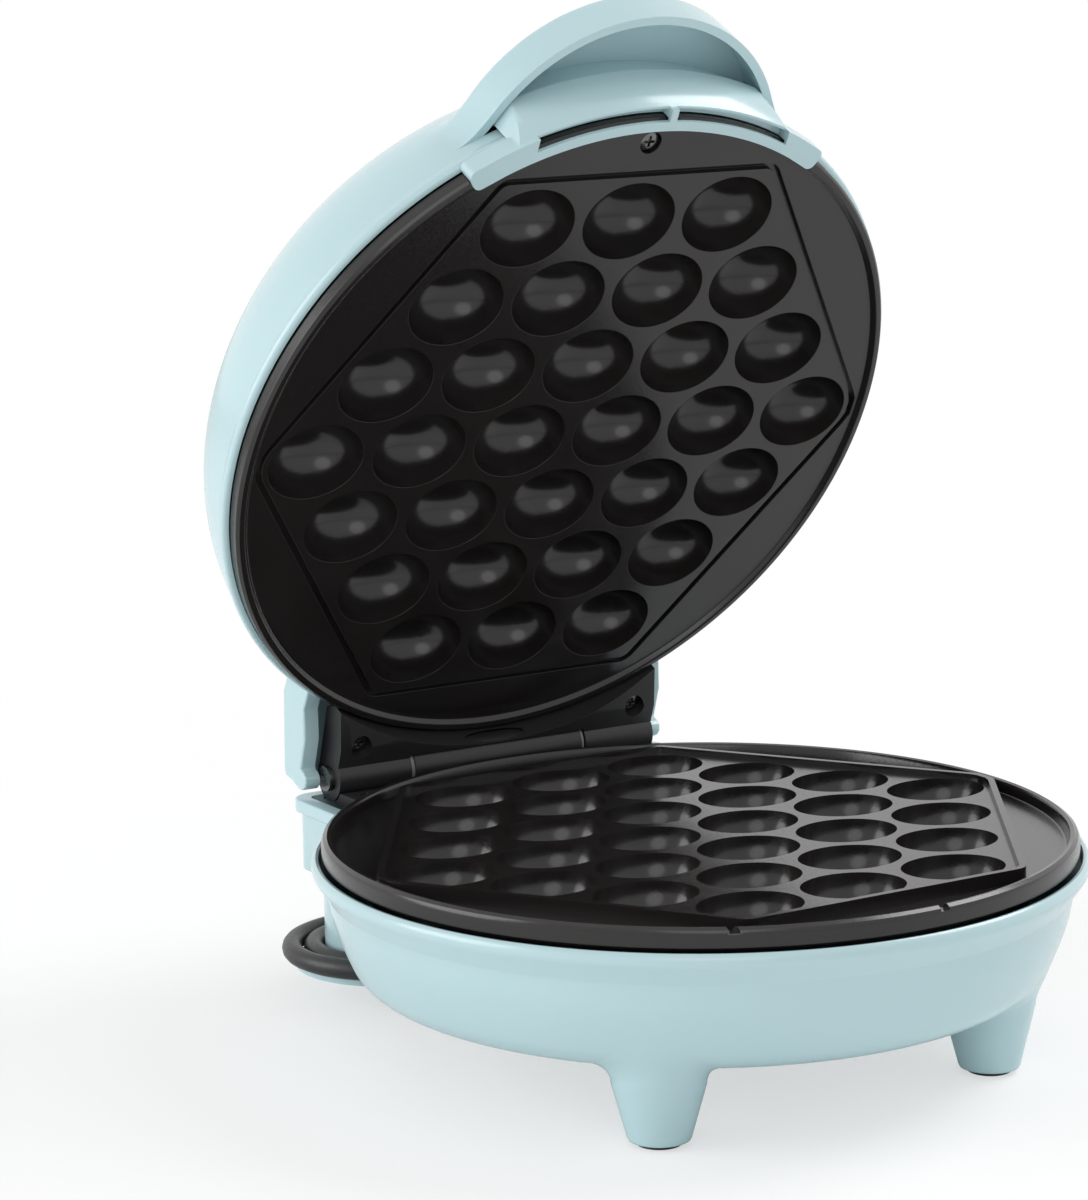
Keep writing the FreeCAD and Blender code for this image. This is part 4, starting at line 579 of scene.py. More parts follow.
def egg_tree():
    tree, given, result = new_tree("egg_rows", [
        ("Pitch", "NodeSocketFloat", 30.0), ("Row pitch", "NodeSocketFloat", 21.75),
        ("Half length", "NodeSocketFloat", 13.55), ("Half width", "NodeSocketFloat", 11.16),
        ("Half depth", "NodeSocketFloat", 11.3), ("Level", "NodeSocketFloat", 0.0),
        ("Middle row", "NodeSocketInt", 6), ("Rows beside", "NodeSocketInt", 3),
        ("Finish", "NodeSocketMaterial", None),
    ])
    widest, beside = given["Middle row"], given["Rows beside"]
    rows = reckon(tree, "ADD", reckon(tree, "MULTIPLY", beside, 2.0), 1.0)
    places = add_node(tree, "GeometryNodeMeshLine", {"Count": reckon(tree, "MULTIPLY", rows, widest)})
    number = add_node(tree, "GeometryNodeInputIndex")
    row = reckon(tree, "FLOOR", reckon(tree, "DIVIDE", number, widest))
    seat = reckon(tree, "SUBTRACT", number, reckon(tree, "MULTIPLY", row, widest))
    line = reckon(tree, "SUBTRACT", row, beside)
    count = reckon(tree, "SUBTRACT", widest, reckon(tree, "ABSOLUTE", line))
    middle = reckon(tree, "DIVIDE", reckon(tree, "SUBTRACT", count, 1.0), 2.0)
    spot = add_node(tree, "ShaderNodeCombineXYZ", {
        "X": reckon(tree, "MULTIPLY", reckon(tree, "SUBTRACT", seat, middle), given["Pitch"]),
        "Y": reckon(tree, "MULTIPLY", line, given["Row pitch"]),
        "Z": given["Level"],
    })
    move = add_node(tree, "GeometryNodeSetPosition", {"Geometry": places, "Position": spot})
    spare = add_node(tree, "GeometryNodeDeleteGeometry", {
        "Geometry": move,
        "Selection": reckon(tree, "GREATER_THAN", seat, reckon(tree, "SUBTRACT", count, 0.5)),
    })
    egg = add_node(tree, "GeometryNodeMeshUVSphere", {"Segments": 56, "Rings": 28, "Radius": 1.0})
    girth = add_node(tree, "ShaderNodeCombineXYZ", {
        "X": given["Half length"], "Y": given["Half width"], "Z": given["Half depth"],
    })
    spread = add_node(tree, "GeometryNodeInstanceOnPoints", {
        "Points": spare, "Instance": egg, "Scale": girth,
    })
    return hand_out(tree, given, result, spread)


def run_tree(name, tree, mesh, **values):
    """An object made by a tree. Inputs are set by their sockets' identifiers; words are joined by _."""
    thing = put_in_scene(name, mesh)
    maker = thing.modifiers.new("maker", "NODES")
    maker.node_group = tree
    for socket in tree.interface.items_tree:
        key = socket.name.lower().replace(" ", "_")
        if socket.in_out == "INPUT" and key in values:
            maker[socket.identifier] = values[key]
    return settle(thing)


EGG_TREE = egg_tree()


def eggs(level):
    """The thirty eggs, with their middles at a level."""
    return run_tree("eggs", EGG_TREE, bpy.data.meshes.new("eggs"), level=level, finish=nonstick_coat)


print("egg tree nodes", len(EGG_TREE.nodes))

# %% [markdown]
# Each plate is a cast disc with a rolled rim. On the lower one a hexagonal ledge carries the wells, with
# a thin ridge round it that seals into the groove of the upper plate. The hexagon's left and right
# corners run into the rim, so its outline is held to the rim's circle there, and its other corners are
# rounded as the casting's are.

# %% The hexagon's outline
HEX_LENGTH = 94.0
HEX_TOP = 41.0
HEX_WIDTH = 80.0
HEX_CORNER = 5.0
HEX_HELD = 91.8
RIDGE = 1.7


def hexagon(inset):
    """A hexagon with rounded corners, drawn in by inset and held to a circle, counterclockwise."""
    slope = math.hypot(HEX_LENGTH - HEX_TOP, HEX_WIDTH)
    run = (HEX_LENGTH - HEX_TOP) / HEX_WIDTH
    far = HEX_LENGTH - inset * slope / HEX_WIDTH
    wide = HEX_WIDTH - inset
    top = far - run * wide
    corners = [
        Vector(c) for c in ((far, 0), (top, wide), (-top, wide), (-far, 0), (-top, -wide), (top, -wide))
    ]
    round_by = HEX_CORNER - inset
    outline = []
    for k, corner in enumerate(corners):
        to_last = (corners[k - 1] - corner).normalized()
        to_next = (corners[(k + 1) % 6] - corner).normalized()
        half = to_last.angle(to_next) / 2
        middle = corner + (to_last + to_next).normalized() * round_by / math.sin(half)
        start = corner + to_last * round_by / math.tan(half) - middle
        stop = corner + to_next * round_by / math.tan(half) - middle
        first = math.atan2(start.y, start.x)
        sweep = (math.atan2(stop.y, stop.x) - first) % (2 * math.pi)
        for step in range(7):
            angle = first + sweep * step / 6
            outline.append(middle + round_by * Vector((math.cos(angle), math.sin(angle))))
    dense = []
    for k, point in enumerate(outline):
        ahead = outline[(k + 1) % len(outline)]
        pieces = max(1, round((ahead - point).length / 3.0))
        dense += [point.lerp(ahead, step / pieces) for step in range(pieces)]
    held = HEX_HELD - inset
    return [tuple(p * held / p.length) if p.length > held else tuple(p) for p in dense]


def hexagonal(name, inset, low, high):
    return slab(name, hexagon(inset), low, high)

# %% Lower plate
LOWER_FACE = 55.3
LEDGE_TOP = 57.5
UPPER_FACE = 61.9
SCREW_PLACE = (0.0, -88.0)


def screw_seats(face, out):
    """The front screw's seat, and the two nicks where the casting's rim was trimmed."""
    sunk, clear, radius = face - 1.8 * out, face + 6 * out, 3.05

    def tools(shape):
        turned(shape, [(0, sunk), (radius, sunk), (radius, clear), (0, clear)], 40, SCREW_PLACE)
        for x, half in ((4.6, 1.3), (-46.6, 1.1)):
            rim = math.sqrt(94.5 ** 2 - x ** 2)
            spot = rectangle(x - half, x + half, -rim - 4, -rim + 3.4)
            upright(shape, spot, face + (1.9 if out > 0 else -6), face + (6 if out > 0 else -0.9))
    return shaped("seats", tools)


lower_plate = lathe("lower_plate_cast", [
    (0, 43.7), (83.5, 43.7), (84.5, 44.7), (84.5, 51.3), (91.0, 51.3), (91.0, 53.1), (94.6, 53.1),
    (95.3, 53.8), (95.4, 54.8), (95.4, 56.6), (94.9, 57.9), (93.9, 58.5), (92.9, 58.3), (92.4, 57.4),
    (92.0, 55.6), (91.4, 55.3), (0, LOWER_FACE),
])
carve(lower_plate, hexagonal("ledge", 0.0, 54.0, LEDGE_TOP), "UNION")
ridge = carve(hexagonal("ridge", 0.0, 56.5, 58.9), hexagonal("inside", RIDGE, 56.0, 60.0))
carve(lower_plate, ridge, "UNION")
carve(lower_plate, eggs(LEDGE_TOP))
carve(lower_plate, screw_seats(LOWER_FACE, 1))
ease_edges(lower_plate, 0.45)
finish_piece(lower_plate, "base", "plate_coating", nonstick_coat, "lower_plate")

# %% Upper plate
upper_plate = lathe("upper_plate_cast", [
    (0, UPPER_FACE), (91.6, 61.9), (92.6, 61.7), (93.4, 60.8), (94.2, 60.4), (95.2, 60.5), (95.9, 61.3),
    (95.9, 64.4), (95.3, 65.0), (92.9, 65.0), (92.9, 65.9), (90.8, 65.9), (90.2, 74.4), (0, 74.4),
])
carve(upper_plate, carve(hexagonal("groove", 0.0, 56.0, 63.5), hexagonal("inside", RIDGE, 55.0, 64.0)))
carve(upper_plate, eggs(UPPER_FACE))
carve(upper_plate, screw_seats(UPPER_FACE, -1))
ease_edges(upper_plate, 0.6)
finish_piece(upper_plate, "lid", "plate_coating", nonstick_coat, "upper_plate")

# %% [markdown]
# The bowl is a round moulding with a rolled bead at the top, so its outline is turned. Its rear opens
# into a square tail for the hinge and the mains block. The two tapered front feet flow up into the bowl:
# each foot's top rows climb on the bowl's own outline, so the joint is a fillet and not a seam.

# %% The bowl's outline
def arc_points(start, stop, bulge, count):
    """Points from start to stop on an arc that stands off the chord by bulge, to the right of its way."""
    a, b = Vector(start), Vector(stop)
    a, b = Vector(start), Vector(stop)
    chord = b - a
    side = Vector((chord.y, -chord.x)).normalized()
    return [
        tuple(a + chord * t + side * bulge * 4 * t * (1 - t)) for t in (k / count for k in range(count + 1))
    ]


bowl_outside = [(0, 20.5), (40, 20.5)] + arc_points((79.0, 20.5), (88.2, 26.0), 1.35, 10)
bowl_outside += arc_points((88.2, 26.0), (93.0, 38.5), 0.35, 8)[1:] + [(93.6, 41.8), (94.0, 44.3)]
bowl_outside += [
    (94.25, 44.9), (97.3, 49.3), (97.8, 50.1), (98.0, 51.0), (97.9, 51.9), (97.5, 52.6), (96.9, 53.0),
]
bowl_inside = [
    (96.2, 52.9), (95.9, 52.3), (95.8, 49.8), (91.8, 44.6), (90.6, 38.5), (89.0, 33.0), (85.8, 27.0),
    (79.0, 23.0), (0, 23.0),
]
print("bowl outline points", len(bowl_outside) + len(bowl_inside))


def bowl_height(radius):
    """The height of the bowl's outside at a radius."""
    for (r0, z0), (r1, z1) in zip(bowl_outside, bowl_outside[1:]):
        if r0 <= radius <= r1:
            return z0 + (z1 - z0) * (radius - r0) / max(r1 - r0, 1e-6)
    return bowl_outside[-1][1]

# %% Bowl, tail and feet
TAIL_HALF = 57.0
TAIL_REAR = 109.0
TAIL_WALL = 2.5
LIP = 1.75
FOOT_X = 49.5
FOOT_Y = -55.3
SOLE = ((5.85, 2.8), (5.85, 1.3), (6.9, 1.2), (7.5, 1.35), (7.8, 1.9))


def rear_box(name, half, front, rear, corner, low, high):
    """A box whose two rear corners are round."""
    outline = [(-half, front), (half, front)]
    for x, first in ((half - corner, 0), (corner - half, 90)):
        outline += [
            (x + corner * math.cos(a), rear - corner + corner * math.sin(a))
            for a in (math.radians(first + turn) for turn in range(0, 91, 10))
        ]
    return slab(name, outline, low, high)


def front_foot(side):
    """A foot as columns round its own axis: sole, taper, and a fillet that climbs on to the bowl."""
    middle = Vector((side * FOOT_X, FOOT_Y))
    top, fillet, steps, bends = 11.4, 5.5, 12, 8
    low_radius, low = SOLE[-1]

    def column(out):
        high = bowl_height(min((middle + out * top).length, 91.0)) - fillet
        spots = [(*(middle + out * radius), height) for radius, height in SOLE]
        for share in (s / steps for s in range(1, steps + 1)):
            radius = low_radius + (top - low_radius) * share
            spots.append((*(middle + out * radius), low + (high - low) * share))
        for bend in (math.pi / 2 * s / bends for s in range(1, bends + 1)):
            spot = middle + out * (top + fillet * (1 - math.cos(bend)))
            height = bowl_height(min(spot.length, 91.6)) - fillet * (1 - math.sin(bend)) + 0.03
            spots.append((*spot, height))
        return spots

    def rows_of(shape):
        columns = [column(Vector((math.cos(a), math.sin(a)))) for a in angles_round(72)]
        rows = [[shape.verts.new(spot) for spot in row] for row in zip(*columns)]
        tips = [[shape.verts.new((*middle, height))] for height in (SOLE[0][1], 22.0)]
        add_grid(shape, [tips[0], *rows, tips[1]])
    return shaped("foot", rows_of)


bowl = lathe("bowl_shell", bowl_outside + bowl_inside)
smooth(bowl, 32)
tail = rear_box("tail", TAIL_HALF, 72.0, TAIL_REAR, 5.0, 33.0, 52.5)
carve(tail, rear_box("lip", TAIL_HALF + LIP, 73.0, TAIL_REAR + LIP, 6.7, 49.0, 52.5), "UNION")
ease_edges(tail, 0.7)
for whole in (tail, bowl):
    carve(whole, rear_box("space", TAIL_HALF - TAIL_WALL, 74.5, TAIL_REAR - TAIL_WALL, 2.6, 35.5, 60.0))
carve(tail, lathe("room", [(0, 30), (92.5, 30), (92.5, 60), (0, 60)], 160))
feet = [front_foot(side) for side in (-1, 1)]
for foot in feet:
    smooth(foot, 50)
join_on(bowl, tail, *feet)
finish_piece(bowl, "base", "mint_shell", mint_plastic, "base_shell")

# %% [markdown]
# Rubber pads keep the maker from sliding. Each is a small turned button with a rounded edge and two
# fine rings on its sole.

# %% Foot pads
PAD_PLACES = ((-FOOT_X, FOOT_Y), (FOOT_X, FOOT_Y), (-30, 85), (30, 85))


def pad_button(place):
    return lambda shape: turned(shape, [
        (0, 0.25), (1.9, 0.25), (2.2, 0.0), (3.0, 0.0), (3.3, 0.25), (3.9, 0.25), (4.2, 0.0), (5.1, 0.0),
        (5.5, 0.15), (5.7, 0.5), (5.7, 3.0), (0, 3.0),
    ], 64, place)


pads = shaped("rubber_pads", *[pad_button(place) for place in PAD_PLACES])
smooth(pads, 40)
finish_piece(pads, "base", "foot_pad", pad_rubber, "foot_pads")

# %% [markdown]
# The lid is a dome with a visor over the finger pocket. Both are one skin, so each upright section of it
# is found by looking outward from a point inside: where the dome or the visor is met last, there the skin
# lies, and the two are blended where they are nearly equal. That gives the soft fillet round the visor.

# %% The lid's skin
RIM = 65.0
DOME_RADIUS = 96.9
DOME_RISE = 60.0
DOME_POWER = 2.34
VISOR_RADIUS = 47.0
VISOR_PLACE = 71.0
VISOR_TOP = 86.5
EYE = (70.0, 72.0)


def dome_radius(height):
    return DOME_RADIUS * (1 - ((height - RIM) / DOME_RISE) ** DOME_POWER) ** (1 / DOME_POWER)


def to_dome(angle):
    """How far the dome is from the inner point at an angle, by halving."""
    near, far = 0.0, 160.0
    for _ in range(48):
        reach = (near + far) / 2
        r = abs(EYE[0] + reach * math.cos(angle)) / DOME_RADIUS
        z = max(EYE[1] + reach * math.sin(angle) - RIM, 0.0) / DOME_RISE
        if r ** DOME_POWER + z ** DOME_POWER < 1:
            near = reach
        else:
            far = reach
    return near


def to_visor(angle, swing):
    """How far the visor's outside is from the inner point, in the section at swing from the front."""
    inside = VISOR_RADIUS ** 2 - (VISOR_PLACE * math.sin(swing)) ** 2
    if inside <= 0 or math.cos(swing) <= 0:
        return 0.0
    wall = VISOR_PLACE * math.cos(swing) + math.sqrt(inside) - EYE[0]
    if wall <= 0 or math.cos(angle) <= 0.02:
        return 0.0
    upright_wall = wall / math.cos(angle)
    crown = VISOR_TOP - 0.018 * wall - EYE[1]
    top = crown / max(math.sin(angle), 0.02)
    round_by = 12.5
    near = max(round_by - abs(upright_wall - top), 0.0) / round_by
    return min(upright_wall, top) - near * near * round_by / 4


def blended(a, b, round_by):
    near = max(round_by - abs(a - b), 0.0) / round_by
    return max(a, b) + near * near * round_by / 4


POLE_ANGLE = math.atan2(RIM + DOME_RISE - EYE[1], -EYE[0])
looks = [math.radians(0.8 * k) for k in range(76)]
looks += [looks[-1] + (POLE_ANGLE - looks[-1]) * k / 34 for k in range(1, 34)]
dome_reach = [to_dome(angle) for angle in looks]
swings = []
swing = -180.0
while swing < 179.99:
    swings.append(math.radians(swing))
    swing += 0.75 if abs(swing + 0.375) < 36 else 2.0
print("lid skin sections", len(swings), "rows", len(looks))

# %% Skin and skirt as one mesh
skirt = [(96.0, 65.0), (96.9, 65.1), (97.5, 65.6), (97.7, 66.4), (97.6, 67.2), (97.15, 67.8), (96.85, 68.2)]
skirt += [(dome_radius(z), z) for z in (69.2, 70.6, 72.0)]


def lid_skin(shape):
    def spot(swing, radius, height):
        return shape.verts.new((radius * math.sin(swing), -radius * math.cos(swing), height))

    lower = []
    for radius, height in skirt:
        row = []
        for swing in swings:
            behind = math.cos(swing) < 0 and abs(radius * math.sin(swing)) < 53.5
            low = 69.0 + (height - RIM) * 3.0 / 7.0 if behind else height
            row.append(spot(swing, dome_radius(low) if behind else radius, low))
        lower.append(row)
    upper = []
    for angle, dome in zip(looks, dome_reach):
        row = []
        for swing in swings:
            reach = blended(dome, to_visor(angle, swing), 6.0)
            row.append(spot(swing, EYE[0] + reach * math.cos(angle), EYE[1] + reach * math.sin(angle)))
        upper.append(row)
    upper.append([shape.verts.new((0, 0, RIM + DOME_RISE))])
    add_grid(shape, lower)
    add_grid(shape, upper)
    bmesh.ops.remove_doubles(shape, verts=lower[-1] + upper[0], dist=0.02)

lid = shaped("lid_dome", lid_skin, turn_out=False)
wall = lid.modifiers.new("wall", "SOLIDIFY")
wall.thickness = 2.3
wall.offset = -1.0
settle(lid)
smooth(lid, 42)
print("lid skin faces", len(lid.data.polygons))

# %% Lid tail
TAIL_SIDE = [
    (80.0, 78.6), (80.0, 67.2), (85.7, 67.2), (92.9, 63.3), (101.9, 61.8), (101.9, 59.4), (102.6, 58.2),
    (104.0, 57.6), (105.6, 57.9), (106.9, 59.0), (107.5, 60.6), (107.5, 64.0), (108.5, 68.0), (106.0, 69.9),
    (87.6, 78.6),
]
TAIL_HOLLOW = [
    (74.0, 52.0), (113.0, 52.0), (113.0, 64.0), (106.0, 64.0), (106.0, 66.8), (87.6, 75.6), (74.0, 75.6),
]
lid_tail = shaped("lid_tail", lambda shape: sideways(shape, TAIL_SIDE, TAIL_HALF))
ease_edges(lid_tail, 1.1, 4, 25.0)
carve(lid_tail, shaped("hollow", lambda shape: sideways(shape, TAIL_HOLLOW, 52.5)))
carve(lid_tail, lathe("room", [(0, 50), (94.4, 50), (94.4, 90), (0, 90)], 160))
join_on(lid, lid_tail)
finish_piece(lid, "lid", "mint_shell", mint_plastic, "lid_shell")

# %% [markdown]
# The finger grip is one moulding at the lid's front. A lip hooks over the plate's rim, a rib crosses
# the slot behind it, and a crescent swells out under the fingers. Above the crescent's crest the
# pocket's wall steps back, so it lies in shadow.

# %% Finger grip
GRIP_HALF = 53.0
VISOR_MIDDLE = (0.0, -71.0)


def grip_foot(shape):
    """A strip that follows the plate's rim, with rounded ends."""
    inner, outer, corner, count = 92.9, 98.9, 2.0, 48
    reach = math.asin(GRIP_HALF / outer)
    round_off = [(1.0 - math.sin(a), 1.0 - math.cos(a)) for a in (math.pi / 2 * k / 6 for k in range(7))]
    far = [(reach - corner / outer * u, outer - corner * v) for u, v in round_off]
    near = [(reach - corner / outer * u, inner + corner * v) for u, v in round_off]
    side = far + near[::-1]
    edge = [(-reach + 2 * reach * k / count, outer) for k in range(4, count - 3)]
    line = edge + side + [(a, inner) for a, r in edge[::-1]] + [(-a, r) for a, r in side[::-1]]
    upright(shape, [(r * math.sin(a), -r * math.cos(a)) for a, r in line], 59.2, 64.7)


def slot_windows(shape):
    for left, right in ((-35.0, 1.9), (3.9, 39.8)):
        upright(shape, rectangle(left, right, -110.0, -60.0), 50.0, 70.0)


crescent = lathe("crescent", [
    (98.0, 60.6), (98.9, 60.6), (99.9, 62.6), (100.7, 65.0), (101.4, 68.0), (101.9, 71.0), (102.2, 73.4),
    (102.0, 74.4), (101.3, 75.0), (99.6, 75.3), (99.4, 84.0), (98.0, 84.0),
], 256)
visor_room = lathe("room", [(0, 60.0), (44.3, 60.0), (44.3, 84.6), (0, 84.6)], 128, VISOR_MIDDLE)
carve(crescent, visor_room, "INTERSECT")
carve(crescent, slab("front", rectangle(-60.0, 60.0, -120.0, -72.0), 50.0, 90.0), "INTERSECT")
ease_edges(crescent, 1.3, 4, 40.0)
grip = shaped("finger_grip", grip_foot)
carve(grip, lathe("plate", [(0, 60.2), (96.2, 60.2), (96.2, 70.0), (0, 70.0)], 256))
carve(grip, crescent, "UNION")
slot = lathe("slot", [
    (95.5, 54.0), (101.0, 54.0), (101.0, 60.9), (98.4, 60.9), (98.4, 63.2), (95.5, 63.2),
], 256)
carve(grip, carve(slot, shaped("windows", slot_windows), "INTERSECT"))
ease_edges(grip, 0.45, 3, 40.0)
finish_piece(grip, "lid", "mint_shell", mint_plastic, "handle_grip")

# %% [markdown]
# Some pieces have the right form in the solids already: the spool and the hinge. Real ones have no
# knife edges, though, so a copy of each is welded, cleaned of the mesh's flat seams, and given the small
# round edges that catch the light.

# %% Pieces eased from their solids
def eased_copy(node, name, width):
    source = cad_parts[node]
    shape = bmesh.new()
    shape.from_mesh(source.data)
    bmesh.ops.transform(shape, matrix=source.matrix_world, verts=shape.verts)
    bmesh.ops.remove_doubles(shape, verts=shape.verts, dist=0.000004)
    bmesh.ops.dissolve_limit(shape, angle_limit=math.radians(1.0), verts=shape.verts, edges=shape.edges)
    return ease_edges(as_object(name, shape), width, 2)


for node, name, body, slot, finish, width in (
    ("cord_spool", "cord_spool_moulding", "base", "mint_shell", mint_plastic, 0.0005),
    ("hinge_bracket", "hinge_bracket_moulding", "base", "hinge_plastic", hinge_grain, 0.0004),
    ("lid_hinge_frame", "lid_frame_moulding", "lid", "hinge_plastic", hinge_grain, 0.0004),
):
    finish_piece(eased_copy(node, name, width), body, slot, finish, node, drawn=False)

# %% [markdown]
# The cross head screws are all one form at many places, which is work for Geometry Nodes. One head is
# modelled: a shallow dome with a cross cut into it. The tree puts it on each given point, facing the
# way that the point says, and sets a plain shank of the right length behind it.

# %% One screw head
HEAD_RADIUS = 2.7
CROSS_LONG, CROSS_WIDE = 1.55, 0.36

screw_head = lathe("screw_head", [
    (0, -1.75), (HEAD_RADIUS - 0.1, -1.75), (HEAD_RADIUS, -1.6), (HEAD_RADIUS, -0.62), (2.5, -0.3),
    (1.9, -0.1), (1.1, -0.02), (0, 0.0),
], 40)
arm = [(CROSS_LONG, -CROSS_WIDE), (CROSS_LONG, CROSS_WIDE), (CROSS_WIDE, CROSS_WIDE)]
cross = []
for quarter in range(4):
    cross += arm
    arm = [(-y, x) for x, y in arm]
carve(screw_head, slab("cross", cross, -1.05, 1.0))
ease_edges(screw_head, 0.1, 2, 40.0)
print("screw head faces", len(screw_head.data.polygons))

# %% Geometry Nodes tree for the screws
def screw_tree():
    tree, given, result = new_tree("screws_on_points", [
        ("Head", "NodeSocketObject", None), ("Shank radius", "NodeSocketFloat", 1.45),
        ("Finish", "NodeSocketMaterial", None),
    ])
    way, reach = [
        add_node(tree, "GeometryNodeInputNamedAttribute", {"Name": name}, data_type=kind).outputs["Attribute"]
        for name, kind in (("way", "FLOAT_VECTOR"), ("reach", "FLOAT"))
    ]
    face = add_node(tree, "FunctionNodeAlignRotationToVector", {"Vector": way}, axis="Z")
    head = add_node(tree, "GeometryNodeObjectInfo", {"Object": given["Head"]})
    heads = add_node(tree, "GeometryNodeInstanceOnPoints", {
        "Points": given["Geometry"], "Instance": head.outputs["Geometry"], "Rotation": face,
    })
    rod = add_node(tree, "GeometryNodeMeshCylinder", {
        "Vertices": 20, "Depth": 1.0, "Radius": given["Shank radius"],
    })
    hang = add_node(tree, "GeometryNodeTransform", {"Geometry": rod, "Translation": (0.0, 0.0, -0.5)})
    size = add_node(tree, "ShaderNodeCombineXYZ", {"X": 1.0, "Y": 1.0, "Z": reach})
    inward = add_node(tree, "ShaderNodeVectorMath", {0: way, "Scale": -1.6}, operation="SCALE")
    sunk = add_node(tree, "GeometryNodeSetPosition", {"Geometry": given["Geometry"], "Offset": inward})
    shanks = add_node(tree, "GeometryNodeInstanceOnPoints", {
        "Points": sunk, "Instance": hang, "Rotation": face, "Scale": size,
    })
    both = add_node(tree, "GeometryNodeJoinGeometry")
    for made in (heads, shanks):
        feed(tree, both.inputs["Geometry"], made)
    return hand_out(tree, given, result, both)


SCREW_TREE = screw_tree()


def screws(name, body, places, *nodes):
    """Screws at (x, y, z of the head's face), with +1 for a head that faces up, and the shank's reach."""
    mesh = bpy.data.meshes.new(name)
    mesh.from_pydata([place[:3] for place in places], [], [])
    mesh.attributes.new("way", "FLOAT_VECTOR", "POINT")
    mesh.attributes.new("reach", "FLOAT", "POINT")
    for k, place in enumerate(places):
        mesh.attributes["way"].data[k].vector = (0.0, 0.0, place[3])
        mesh.attributes["reach"].data[k].value = place[4]
    thing = run_tree(name, SCREW_TREE, mesh, head=screw_head, finish=zinc_screw)
    return finish_piece(thing, body, "screw_steel", zinc_screw, *nodes)


def pair(x, y, *rest):
    return [(-x, y, *rest), (x, y, *rest)]


def ring_of(radius, *rest):
    """Three places round the plates' middle."""
    angles = [math.radians(a) for a in (-90, 30, 150)]
    return [(radius * math.cos(a), radius * math.sin(a), *rest) for a in angles]


base_places = [(*SCREW_PLACE, 54.7, 1, 8.0)] + pair(43.5, 91.8, 54.5, 1, 6.2)
base_places += ring_of(66.0, 29.6, 1, 2.5) + pair(25.0, 98.0, 9.1, -1, 27.0)
screws(
    "base_screws", "base", base_places,
    "lower_plate_screw", "bracket_screws", "lower_shield_screws", "spool_screws",
)
lid_places = [(*SCREW_PLACE, 62.5, -1, 8.0)] + pair(43.5, 91.8, 57.6, -1, 11.0)
lid_places += ring_of(50.0, 91.4, -1, 8.0)
screws("lid_screws", "lid", lid_places, "upper_plate_screw", "frame_screws", "upper_shield_screws")
bpy.data.objects.remove(screw_head)

# %% [markdown]
# The plug lies on the floor behind the maker. Its casing is a soft-edged block with finger grooves, and
# the cord runs into a ribbed neck. It is one moulding, drawn along the way the cord comes in.

# %% Plug
PLUG_MOUTH = Vector((43.0, 151.0, 8.7))


def plug_rows(shape):
    """Rows round the plug's axis, from the neck's mouth to the face:
    (reach, half width, half height, squareness)."""
    neck = (
        (0.0, 3.3), (0.6, 3.6), (2.4, 3.9), (2.9, 3.3), (3.7, 3.3), (4.2, 4.4), (5.8, 4.7), (6.3, 3.9),
        (7.1, 3.9), (7.6, 5.2),
    )
    stations = [(reach, half, half, 2.0) for reach, half in neck] + [
        (9.6, 5.5, 5.4, 2.2), (11.2, 8.2, 6.4, 2.8), (13.0, 10.6, 7.3, 3.4), (15.5, 11.9, 7.9, 4.0),
        (19.0, 12.3, 8.2, 4.4), (20.0, 11.9, 8.0, 4.4), (21.0, 12.4, 8.3, 4.6), (22.6, 12.0, 8.0, 4.6),
        (23.6, 12.6, 8.35, 4.8), (25.2, 12.2, 8.1, 4.8), (26.2, 12.8, 8.4, 5.0), (36.0, 13.0, 8.5, 5.4),
        (40.6, 13.0, 8.5, 5.4), (41.6, 12.6, 8.1, 5.4), (42.0, 12.0, 7.5, 5.4),
    ]
    rows = []
    for reach, half_width, half_height, power in stations:
        row = []
        for a in angles_round(64):
            y, z = [
                half * math.copysign(abs(part) ** (2 / power), part)
                for half, part in ((half_width, math.cos(a)), (half_height, math.sin(a)))
            ]
            row.append(shape.verts.new(PLUG_MOUTH + Vector((-reach, y, z))))
        rows.append(row)
    add_grid(shape, rows)
    shape.faces.new(rows[0])
    shape.faces.new(rows[-1][::-1])


plug = shaped("plug_moulding", plug_rows)
smooth(plug, 40)
finish_piece(plug, "base", "plug_casing", plug_shell, "plug_body")

# %% [markdown]
# The maker stands on a plain pale floor under soft light, as in a catalogue. The background is white to
# the camera and to glossy surfaces, while the light that falls on the maker stays level. The floor keeps
# the soft shadow.

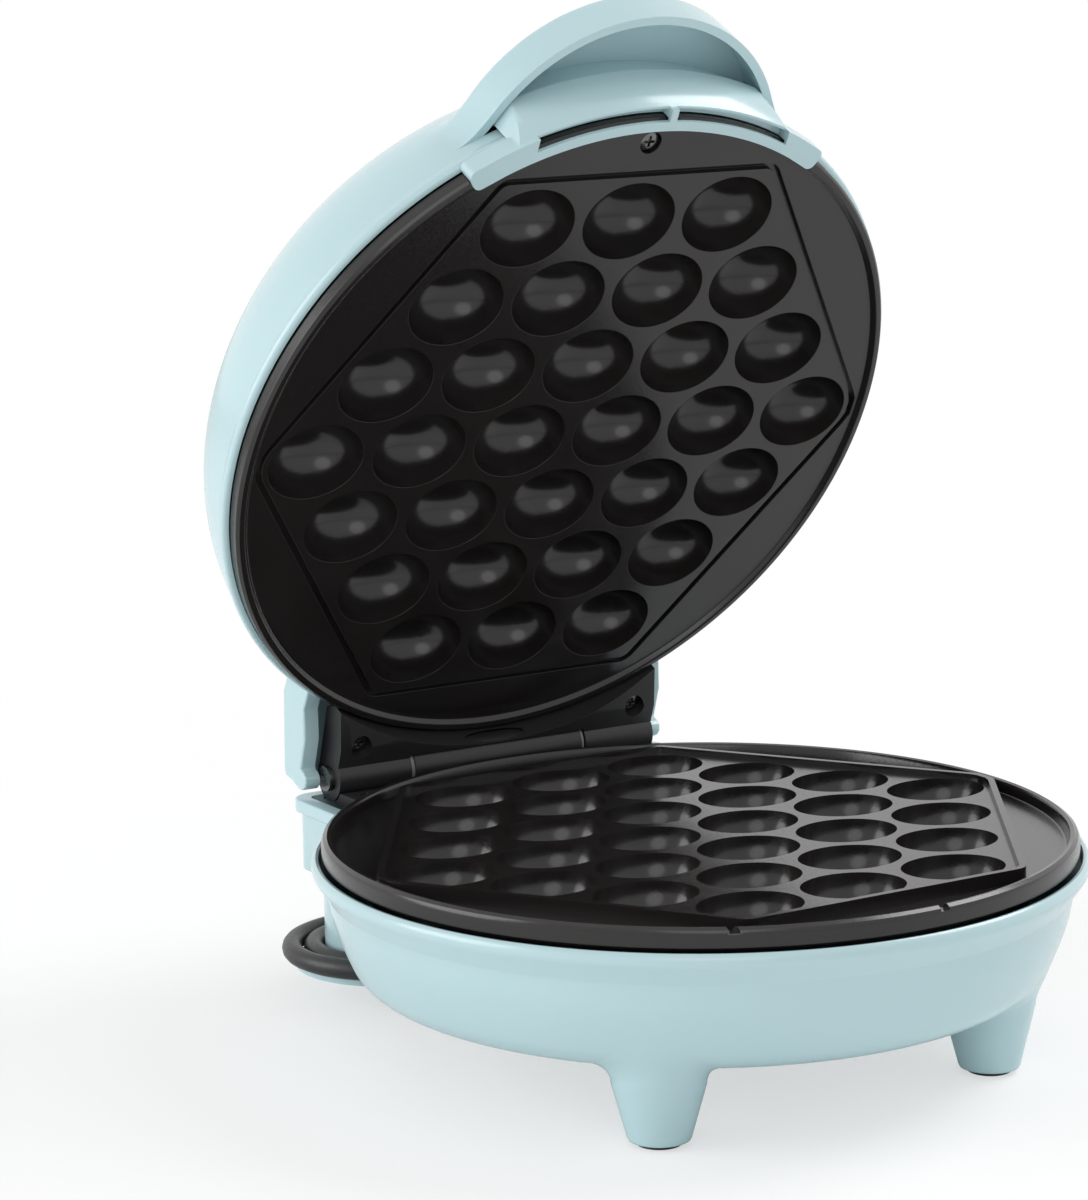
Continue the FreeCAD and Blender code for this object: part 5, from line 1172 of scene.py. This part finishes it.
# %% Floor
floor_paint = bpy.data.materials.new("pale_floor")
floor_paint.use_nodes = True
paper = floor_paint.node_tree
pale = paper.nodes["Principled BSDF"]
feed(paper, pale.inputs["Base Color"], (0.96, 0.96, 0.96, 1.0))
feed(paper, pale.inputs["Roughness"], 0.9)
feed(paper, pale.inputs["Specular IOR Level"], 0.1)
place = add_node(paper, "ShaderNodeTexCoord").outputs["Object"]
from_maker = add_node(paper, "ShaderNodeVectorMath", {0: place}, operation="LENGTH")
fade = add_node(paper, "ShaderNodeMapRange", {
    "From Min": 0.25, "From Max": 0.62, "To Min": 0.58, "Value": from_maker.outputs["Value"],
}, interpolation_type="SMOOTHSTEP")
camera_ray = add_node(paper, "ShaderNodeLightPath").outputs["Is Camera Ray"]
white = add_node(paper, "ShaderNodeEmission", {"Strength": 1.0})
mix = add_node(paper, "ShaderNodeMixShader", {
    "Fac": reckon(paper, "MULTIPLY", fade, camera_ray), 1: pale, 2: white,
})
feed(paper, paper.nodes["Material Output"].inputs["Surface"], mix)
floor_mesh = bpy.data.meshes.new("floor")
floor_mesh.from_pydata([(-6, -6, 0), (6, -6, 0), (6, 6, 0), (-6, 6, 0)], [], [(0, 1, 2, 3)])
floor_mesh.materials.append(floor_paint)
floor = put_in_scene("floor", floor_mesh)

# %% World
world = bpy.data.worlds.new("studio")
bpy.context.scene.world = world
world.use_nodes = True
sky = world.node_tree
rays = add_node(sky, "ShaderNodeLightPath").outputs
seen = reckon(sky, "MAXIMUM", rays["Is Camera Ray"], rays["Is Glossy Ray"])
shown = reckon(sky, "MAXIMUM", seen, rays["Is Transmission Ray"])
strength = add_node(sky, "ShaderNodeMapRange", {"To Min": 0.58, "To Max": 1.0, "Value": shown})
background = sky.nodes["Background"]
feed(sky, background.inputs["Strength"], strength)
feed(sky, background.inputs["Color"], (1.0, 1.0, 1.0, 1.0))

# %% Lamps
def soft_lamp(name, spot, aim, size, watts):
    lamp = bpy.data.lights.new(name, "AREA")
    lamp.shape = "DISK"
    lamp.size = size
    lamp.energy = watts
    spot, aim = Vector(spot), Vector(aim)
    way = (spot - aim).to_track_quat("Z", "Y").to_matrix().to_4x4()
    put_in_scene(name, lamp).matrix_world = Matrix.Translation(spot) @ way


soft_lamp("key", (1.2, -0.1, 1.35), (0.0, 0.0, 0.1), 1.0, 14.0)
soft_lamp("front_fill", (-0.9, -1.6, 0.9), (0.0, 0.0, 0.12), 1.2, 4.5)
soft_lamp("left_fill", (-1.5, 0.5, 0.55), (0.0, 0.0, 0.12), 1.3, 13.5)
bpy.context.scene.view_settings.view_transform = "Standard"
